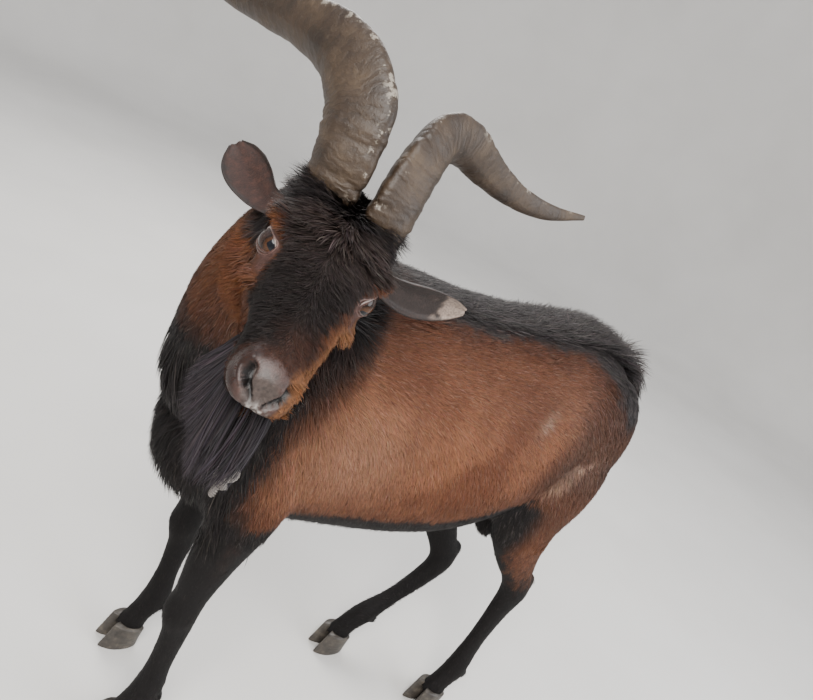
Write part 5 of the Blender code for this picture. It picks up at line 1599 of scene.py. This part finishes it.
# The knot lies on the hair, a little to the left of the rope's lowest place
knot_middle = knot_middle + knot_out * KNOT_LIFT
knot_middle = knot_middle - knot_along * KNOT_SHIFT * np.sign(knot_along @ SWEEP)
turns = np.linspace(0, 4.4 * math.pi, 26)
coil = [
    knot_middle
    + knot_along * (0.0095 * math.cos(a * 0.5))
    + knot_up * (0.0098 * math.cos(a))
    + knot_out * (0.0082 * math.sin(a) - 0.001)
    for a in turns
]
knot = wound("rope_knot", coil, 240, 14)
tails = []
for lean, long in ((-0.35, 0.026), (0.55, 0.020)):
    start = knot_middle + knot_out * 0.004
    hang = np.array((0, 0, -1.0)) + knot_along * lean + knot_out * 0.25
    tails.append(wound("rope_end", [start, start + hang * long * 0.5, start + hang * long * 0.9], 40, 2.6, 0.85))
knot = join([knot, *tails], "rope_knot")
bpy.ops.object.shade_smooth()

rope_look, wire, shader = new_material("grey_rope")
place = wire.place()
dirt = wire.noise(place, 40.0, 4.0)
colour = wire.ramp(dirt, ((0.3, (0.16, 0.14, 0.125)), (0.7, (0.34, 0.315, 0.29))))
colour, fibre = grained(wire, place, colour, 700.0, 0.55, 1.2)
wire.feed(shader["Base Color"], colour)
wire.feed(shader["Roughness"], 0.85)
wire.feed(shader["Normal"], wire.bump(fibre, 0.8, 0.0008))
for obj in (rope, knot):
    obj.data.materials.clear()
    obj.data.materials.append(rope_look)

# %% [markdown]
# ## The coat
# Hair lies along the body: back over the flanks, down the legs, forward over the nose. First the
# skin is unwrapped, because the export gives every tuft its place on that unwrap. Then roots are
# scattered over the skin by area, and each grows a thin, flat, tapering blade along the lie.

# %% Unwrap the skin and read its triangles
bpy.ops.object.select_all(action="DESELECT")
skin.select_set(True)
bpy.context.view_layer.objects.active = skin
bpy.ops.object.mode_set(mode="EDIT")
bpy.ops.mesh.select_all(action="SELECT")
bpy.ops.uv.smart_project(angle_limit=math.radians(66), island_margin=0.001)
bpy.ops.object.mode_set(mode="OBJECT")
skin.data.uv_layers[0].name = "OFBake"


class Ground:
    """The triangles of a surface that hair grows on, with their normals, unwrap and areas."""

    def __init__(self, obj):
        mesh = obj.data
        mesh.calc_loop_triangles()
        count = len(mesh.loop_triangles)
        corners = np.empty(count * 3, np.int32)
        loops = np.empty(count * 3, np.int32)
        mesh.loop_triangles.foreach_get("vertices", corners)
        mesh.loop_triangles.foreach_get("loops", loops)
        self.corners = corners.reshape(-1, 3)
        self.points = coordinates(mesh)
        self.normals = point_normals(mesh)
        flat = np.empty(len(mesh.loops) * 2, np.float32)
        mesh.uv_layers[0].data.foreach_get("uv", flat)
        self.unwrap = flat.reshape(-1, 2)[loops].reshape(-1, 3, 2)
        a, b, c = (self.points[self.corners[:, k]] for k in range(3))
        self.areas = np.linalg.norm(np.cross(b - a, c - a), axis=1) / 2
        self.middles = (a + b + c) / 3

    def roots(self, count, weight, chance):
        """count roots scattered by area times weight: places, normals and unwrap."""
        share = np.cumsum(self.areas * weight)
        picks = (np.arange(count) + chance.uniform(0, 1, count)) / count * share[-1]
        faces = np.minimum(np.searchsorted(share, picks), len(share) - 1)
        u, v = chance.uniform(0, 1, (2, count))
        over = u + v > 1
        u, v = np.where(over, 1 - u, u), np.where(over, 1 - v, v)
        parts = np.stack([1 - u - v, u, v], axis=1)[:, :, None]
        corners = self.corners[faces]
        places = (self.points[corners] * parts).sum(axis=1)
        normals = unit((self.normals[corners] * parts).sum(axis=1))
        return places, normals, (self.unwrap[faces] * parts).sum(axis=1)


ground = Ground(skin)
print("skin area", round(ground.areas.sum(), 3), "square metres")


# %% The lie of the coat
def lie(points, normals):
    """The way the hair lies at each point, along the skin."""
    x, y, z = points.T
    top, bottom, half = trunk_at(x)
    depth = ease(0.02, 0.30, top - z)[:, None]
    flow = np.array((1.0, 0.0, -0.10)) * (1 - depth) + np.array((0.22, 0.0, -1.0)) * depth
    flow = mix(flow, np.array((1.0, 0.0, -0.05)), ease(top - 0.10, top - 0.01, z))
    flow = mix(flow, np.array((1.0, 0.0, 0.0)), ease(bottom + 0.05, bottom, z))
    flow = mix(flow, np.array((0.40, 0.0, -0.95)), ease(0.20, 0.34, x))
    flow = mix(flow, np.array((0.15, 0.0, -1.0)), ease(-0.19, -0.27, x) * ease(0.78, 0.66, z))
    flow = mix(flow, np.array((0.12, 0.0, -1.0)), ease(0.56, 0.46, z) * ease(0.04, 0.06, np.abs(y)))
    rings = neck_frames()
    centres = np.array([f[0] for f in rings])
    along = unit(np.gradient(centres, axis=0))
    nearest = np.empty(len(points), int)
    for start in range(0, len(points), 20000):
        block = points[start : start + 20000]
        nearest[start : start + 20000] = np.linalg.norm(block[:, None] - centres[None], axis=2).argmin(axis=1)
    neck_share = ease(4, 11, nearest.astype(float)) * ease(-0.18, -0.24, x) * ease(0.64, 0.72, z)
    flow = mix(flow, -along[nearest] + np.array((0, 0, -0.35)), neck_share)
    # On the head it parts at the forehead: forward over the nose, back and down over the cheeks
    s, l, u = to_head(points).T
    side = ease(0.012, 0.040, np.abs(l)) * ease(0.02, -0.05, u)
    parted = np.sign(l) * ease(0.0, 0.014, np.abs(l)) * ease(-0.02, 0.04, s)
    face = np.stack([0.55 - 0.75 * side, parted * (0.85 - 0.35 * side), -0.15 - 0.75 * side], axis=1)
    along_cut, near = beyond_cut(points)
    head_share = ease(-0.015, 0.02, along_cut) * near * (z > 0.74)
    flow = mix(flow, face @ HEAD_TURN.T, head_share)
    # Round the eyes it points away from them
    for way in HEAD_SIDES:
        away = points - eye_place(way)
        flow = mix(flow, unit(away), ease(2.9, 1.9, eye_ring(points, way)) * 0.8)
    return unit(flow - normals * (flow * normals).sum(axis=1)[:, None])


# %% Blades
PALE_HAIR = np.array((0.034, 0.029, 0.027))
SHINE = 0.45


def gathered(roots, reach, size, strength, chance):
    """How far each hair's tip moves to its lock's tip. size is how many hairs share a lock."""
    count = len(roots)
    spread = max(8, int(count / size))
    leaders = chance.choice(count, spread, replace=False)
    tree = KDTree(spread)
    for i, leader in enumerate(leaders):
        tree.insert(roots[leader], i)
    tree.balance()
    own = np.array([tree.find(root)[1] for root in roots])
    tips = roots + reach
    leader_tips = tips[leaders][own]
    return (leader_tips - tips) * strength


def blade_mesh(
    name, roots, normals, unwrap, flow, length, width, lift, colours, segments, chance,
    sag=0.0, spread=0.22, bow=0.35, tip=1.35, clumps=None, pale=1.0, drift=0.0,
):
    """One mesh of many tapering blades. Every blade takes its colour and its patch from its root."""
    count = len(roots)
    turn = chance.normal(0, spread, count)[:, None]
    side = np.cross(normals, flow)
    flow = unit(flow * np.cos(turn) + side * np.sin(turn))
    side = np.cross(normals, flow)
    roll = chance.normal(0, 0.35, count)[:, None]
    flat = side * np.cos(roll) + normals * np.sin(roll)
    length, width, lift = (np.broadcast_to(value, count)[:, None] for value in (length, width, lift))
    levels = segments * 2 + 1
    points = np.empty((count, levels, 3))
    shades = np.ones((count, levels, 4), np.float32)
    shading = np.empty((count, levels, 3))
    patches = np.empty((count, levels, 2), np.float32)
    vary = chance.uniform(0.72, 1.28, count)[:, None]
    hue = chance.normal(0, 0.05, (count, 3))
    colours = colours + PALE_HAIR * (chance.uniform(0, 1, count) ** 9 * pale)[:, None]
    curl = chance.normal(0, 0.06, count)[:, None]
    gather = np.zeros((count, 3)) if clumps is None else gathered(roots, flow * length, *clumps, chance)
    patch_turn = chance.uniform(0, 2 * math.pi, count)[:, None]
    patch_way = np.concatenate([np.cos(patch_turn), np.sin(patch_turn)], axis=1) * 0.0015
    for step in range(segments + 1):
        t = step / segments
        rise = lift * length * t * (1 - bow * t)
        middle = roots - normals * 0.0008 + flow * length * t + normals * rise
        middle = middle + gather * t * t + side * curl * length * t * t
        middle = middle - np.array((0, 0, 1.0)) * sag * length * t * t
        middle = middle + drift * t**1.6
        half = width / 2 * (1 - t) ** 0.55 * min(1.0, 0.75 + t)
        tone = (colours * vary * (1 + hue)) * (0.70 + (tip - 0.70) * t)
        light = unit(normals - flow * (lift * 0.5))
        for k, sign in ((0, -1), (1, 1)) if step < segments else ((0, 0),):
            spot = step * 2 + k
            points[:, spot] = middle + flat * half * sign
            shades[:, spot, :3] = tone
            shading[:, spot] = unit(light + flat * (sign * SHINE) + side * chance.normal(0, 0.10, count)[:, None])
            patches[:, spot] = unwrap + patch_way * (t - 0.5) + patch_way[:, ::-1] * (sign * 0.5, -sign * 0.5)
    mesh = bpy.data.meshes.new(name)
    mesh.vertices.add(count * levels)
    mesh.vertices.foreach_set("co", points.astype(np.float32).ravel())
    corners, sizes = [], []
    for step in range(segments - 1):
        a = step * 2
        corners += [a, a + 2, a + 3, a + 1]
        sizes.append(4)
    last = (segments - 1) * 2
    corners += [last, last + 2, last + 1]
    sizes.append(3)
    per_blade = len(corners)
    loops = (np.array(corners)[None] + np.arange(count)[:, None] * levels).ravel().astype(np.int32)
    starts = (np.concatenate([[0], np.cumsum(sizes)[:-1]])[None] + np.arange(count)[:, None] * per_blade).ravel()
    mesh.loops.add(len(loops))
    mesh.loops.foreach_set("vertex_index", loops)
    mesh.polygons.add(len(starts))
    mesh.polygons.foreach_set("loop_start", starts.astype(np.int32))
    mesh.polygons.foreach_set("use_smooth", np.ones(len(starts), bool))
    mesh.update(calc_edges=True)
    layer = mesh.uv_layers.new(name="OFBake")
    layer.data.foreach_set("uv", np.clip(patches.reshape(-1, 2)[loops], 0, 1).astype(np.float32).ravel())
    attribute = mesh.color_attributes.new(name="hair", type="FLOAT_COLOR", domain="POINT")
    attribute.data.foreach_set("color", shades.ravel())
    mesh.normals_split_custom_set_from_vertices(shading.reshape(-1, 3))
    obj = bpy.data.objects.new(name, mesh)
    bpy.context.scene.collection.objects.link(obj)
    return obj


hair_look, wire, shader = new_material("goat_hair")
wire.feed(shader["Base Color"], wire.attribute("hair"))
wire.feed(shader["Roughness"], 0.58)
wire.feed(shader["Specular IOR Level"], 0.16)

coats = []


def grow(name, count, weight, length, width, lift, seed, segments=2, **extra):
    """Grows one piece of the coat where weight is above nothing. length, width and lift may be functions."""
    chance = np.random.default_rng(seed)
    share = weight(ground.middles) * ease(0.016, 0.028, np.linalg.norm(ground.middles - knot_middle, axis=1))
    roots, normals, unwrap = ground.roots(count, share, chance)
    flow = lie(roots, normals)
    colours = markings(roots)
    sizes = [value(roots) if callable(value) else value for value in (length, width, lift)]
    sizes[0] = sizes[0] * chance.uniform(0.75, 1.15, count)
    obj = blade_mesh(name, roots, normals, unwrap, flow, *sizes, colours, segments, chance, **extra)
    obj.data.materials.append(hair_look)
    coats.append(obj)
    return obj


def on_the_head(points):
    along, near = beyond_cut(points)
    return near & (along > -0.004) & (points[:, 2] > 0.74)


def on_a_leg(points):
    return (points[:, 2] < 0.46) & (np.abs(points[:, 1]) > 0.02)


def on_trunk(points):
    return ~on_the_head(points) & ~on_a_leg(points)


# The flanks' coat starts behind the shoulder line and is parted in fore and rear pieces
SHOULDER_LINE, FLANK_PARTING = -0.21, 0.09
# How many blades each piece has, and a blade's length, width and lift
FLANK_BLADES, FLANK_BLADE = 49000, (0.021, 0.0016, 0.19)
for name, side, seed in (("left", LEFT, 21), ("right", RIGHT, 31)):
    flank = lambda p, side=side: on_trunk(p) * (p[:, 1] * side >= 0.0) * (p[:, 0] > SHOULDER_LINE)
    fore = lambda p: flank(p) * (p[:, 0] < FLANK_PARTING)
    rear = lambda p: flank(p) * (p[:, 0] >= FLANK_PARTING)
    grow(f"coat_flank_{name}_fore", FLANK_BLADES, fore, *FLANK_BLADE, seed, clumps=(9, 0.35), pale=1.1)
    grow(f"coat_flank_{name}_rear", FLANK_BLADES, rear, *FLANK_BLADE, seed + 1, clumps=(9, 0.35), pale=1.1)
grow("coat_fore", 52000, lambda p: on_trunk(p) * (p[:, 0] <= -0.21), 0.024, 0.0018, 0.20, 23, clumps=(9, 0.35))
grow("coat_legs", 42000, lambda p: on_a_leg(p) * (p[:, 2] > 0.036), 0.012, 0.0015, 0.17, 24, clumps=(9, 0.3), pale=0.3)


def face_weight(points):
    s, l, u = to_head(points).T
    keep = on_the_head(points) * (1 - nose_share(points))
    for side in HEAD_SIDES:
        keep = keep * ease(1.45, 1.75, eye_ring(points, side))
    return keep * (1 + 1.2 * ease(0.12, 0.2, s))


def face_length(points):
    s, l, u = to_head(points).T
    long = np.interp(s, (-0.05, 0.05, 0.12, 0.20, 0.24, 0.265, 0.29), (0.026, 0.023, 0.019, 0.015, 0.010, 0.006, 0.004))
    for side in HEAD_SIDES:
        long = long * (0.30 + 0.70 * ease(1.6, 3.6, eye_ring(points, side)))
    return long


def face_width(points):
    s, l, u = to_head(points).T
    return np.interp(s, (0.0, 0.15, 0.28), (0.0016, 0.0013, 0.0008))


grow(
    "coat_face", 56000, face_weight, face_length, face_width, 0.30, 25,
    clumps=(12, 0.45), spread=0.35, pale=0.5,
)


# %% [markdown]
# Long hair is grown the same way where the goat has it: a crest down the back, shag on the chest,
# a fringe under the belly, the brush of the tail and the forelock. Its tips draw together in locks.

# %% Long hair
def crest_weight(p):
    x, y, z = p.T
    return (z > 0.76) * ease(0.055, 0.030, np.abs(y)) * ease(-0.22, -0.19, x) * ease(0.42, 0.38, x) * ~on_the_head(p)


def crest_lift(p):
    """The crest stands higher over the loin."""
    return 0.45 + 0.40 * ease(0.05, 0.28, p[:, 0])


grow("crest", 14000, crest_weight, 0.044, 0.0013, crest_lift, 51, 3, clumps=(12, 0.35), spread=0.45, pale=2.0)


def chest_weight(p):
    x, y, z = p.T
    keep = ease(-0.235, -0.275, x) * ease(0.44, 0.48, z) * ease(0.715, 0.66, z)
    return keep * (np.abs(y) < 0.13) * ~on_the_head(p)


grow("chest_shag", 12000, chest_weight, 0.066, 0.0019, 0.20, 52, 4, clumps=(26, 0.55), spread=0.16, bow=0.5)


def nape_weight(p):
    x, y, z = p.T
    nape = np.zeros(len(p))
    for centre, left, up, row in neck_frames()[6:]:
        away = p - centre
        here = np.exp(-((away @ np.cross(left, up)) / 0.02) ** 2)
        nape = np.maximum(nape, here * ease(0.75, 0.95, unit(away) @ up))
    return nape * (z > 0.76) * (x > -0.40) * ~on_the_head(p)


grow("nape_mane", 7000, nape_weight, 0.046, 0.0017, 0.34, 53, 3, clumps=(20, 0.5), spread=0.25)


def belly_weight(p):
    x, y, z = p.T
    keep = ease(0.520, 0.490, z) * (z > 0.40) * ease(0.125, 0.095, np.abs(y))
    return keep * ease(-0.24, -0.20, x) * ease(0.24, 0.20, x)


grow("belly_fringe", 5000, belly_weight, 0.024, 0.0013, 0.22, 54, 3, clumps=(9, 0.25), sag=0.10, spread=0.3)


def tail_weight(p):
    x, y, z = p.T
    return ease(0.405, 0.430, x) * (z > 0.62) * (np.abs(y) < 0.05)


grow("tail_brush", 6000, tail_weight, 0.055, 0.0019, 0.30, 55, 3, clumps=(24, 0.5), sag=0.20)


def forelock_weight(p):
    s, l, u = to_head(p).T
    keep = on_the_head(p) * ease(-0.045, -0.03, s) * ease(0.125, 0.085, s)
    return keep * ease(0.050, 0.036, np.abs(l)) * (u > -0.045)


grow("forelock", 9000, forelock_weight, 0.034, 0.0016, 0.50, 56, 3, clumps=(22, 0.55), spread=0.45)


def jaw_weight(p):
    s, l, u = to_head(p).T
    return on_the_head(p) * ease(-0.01, 0.01, s) * ease(0.17, 0.14, s) * ease(-0.118, -0.130, u)


grow("jaw_fringe", 4000, jaw_weight, 0.020, 0.0014, 0.16, 57, 3, clumps=(20, 0.5), sag=0.30)

# The left side of the mouth and jaw carries a short rust fringe
def lip_weight(p):
    s, l, u = to_head(p).T
    keep = on_the_head(p) * ease(0.10, 0.13, s) * ease(0.282, 0.270, s) * (l > 0.014)
    return keep * ease(-0.055, -0.062, u) * ease(-0.125, -0.115, u)


grow("jaw_strip", 3500, lip_weight, 0.010, 0.0012, 0.30, 60, 3, clumps=(14, 0.35), spread=0.35, bow=0.5, pale=0.3)


def rope_weight(p):
    """Skin of the neck beside the rope, but not by the knot, which stays in sight."""
    keep = np.zeros(len(p))
    box = (p > line.min(axis=0) - 0.05).all(axis=1) & (p < line.max(axis=0) + 0.05).all(axis=1)
    for start in range(0, int(box.sum()), 5000):
        rows = np.flatnonzero(box)[start : start + 5000]
        away = np.linalg.norm(p[rows, None] - line[None, ::6], axis=2).min(axis=1)
        keep[rows] = ease(0.034, 0.026, away)
    return keep * ease(0.030, 0.050, np.linalg.norm(p - knot_middle, axis=1)) * ~on_the_head(p)


grow("collar_cover", 9000, rope_weight, 0.036, 0.0015, 0.75, 61, 3, clumps=(14, 0.35), spread=0.3, bow=0.45)

# %% [markdown]
# The beard grows from the chin and the underside of the jaw, and hangs down in a broad curtain that
# sweeps a little to one side. Its hairs don't follow the skin, so they are given their own way.


# %% Beard
def beard(count, seed):
    chance = np.random.default_rng(seed)

    def chin(p):
        s, l, u = to_head(p).T
        return on_the_head(p) * ease(0.150, 0.180, s) * ease(0.274, 0.262, s) * ease(-0.104, -0.114, u)

    roots, normals, unwrap = ground.roots(count, chin(ground.middles), chance)
    s, l, u = to_head(roots).T
    aside = l / 0.026
    back = ease(0.235, 0.165, s)
    down = np.tile((0.0, 0.0, -1.0), (count, 1)) + np.outer(0.10 * aside - 0.45 * back * (l < 0.006), HEAD_TURN[:, 1])
    down = unit(down + np.outer(0.12 + (s - 0.235) * 2, HEAD_TURN[:, 0]))
    length = (0.094 - 0.010 * aside**2 - 0.15 * (0.262 - s)) * chance.uniform(0.85, 1.05, count)
    facing = np.tile(HEAD_TURN[:, 0], (count, 1)) + np.outer(aside * 0.5, HEAD_TURN[:, 1])
    facing = unit(facing + chance.normal(0, 0.18, (count, 3)))
    facing = unit(facing - down * (facing * down).sum(axis=1)[:, None])
    grey = np.tile(np.array((0.0235, 0.0195, 0.0225)), (count, 1)) * chance.uniform(0.35, 1.9, (count, 1))
    drift = np.outer(np.clip(0.012 + 0.014 * aside, -0.004, 0.026), (-0.788, 0.616, 0.0))
    pale = chance.uniform(0, 1, count) < 0.0006
    grey[pale] = (0.30, 0.24, 0.17)
    obj = blade_mesh(
        "beard", roots, facing, unwrap, down, length, 0.0012, 0.10, grey, 6, chance,
        spread=0.022, bow=1.0, clumps=(24, 0.16), tip=1.1, pale=0.0, drift=drift,
    )
    obj.data.materials.append(hair_look)
    coats.append(obj)


beard(7500, 58)


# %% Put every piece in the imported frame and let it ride
def settle(obj, *nodes):
    obj.data.transform(Matrix.Translation(Vector(MOVE)))
    obj.data.update()
    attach(obj, "root")
    if nodes:
        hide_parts(*nodes)


FLESH_NODES = ["head", "neck", "trunk", "tail", "scrotum"]
for name in LEG_ROWS:
    FLESH_NODES += [f"{name}_upper", f"{name}_lower"]
settle(skin, *FLESH_NODES)
for obj in coats:
    settle(obj)
for side, obj in zip(HEAD_SIDES, eyes):
    settle(obj, f"eye_{HEAD_SIDES[side]}")
for obj in lids:
    settle(obj)
for side, obj in zip(HEAD_SIDES, horns):
    settle(obj, f"horn_{HEAD_SIDES[side]}")
for side, obj in zip(HEAD_SIDES, ears):
    settle(obj, f"ear_{HEAD_SIDES[side]}")
for obj, node in hooves:
    settle(obj, node)
settle(rope, "collar")
settle(knot, "collar_knot")

# %% Sizes, and the end
print("triangles of the coat:", sum(len(o.data.loops) - 2 * len(o.data.polygons) for o in coats))
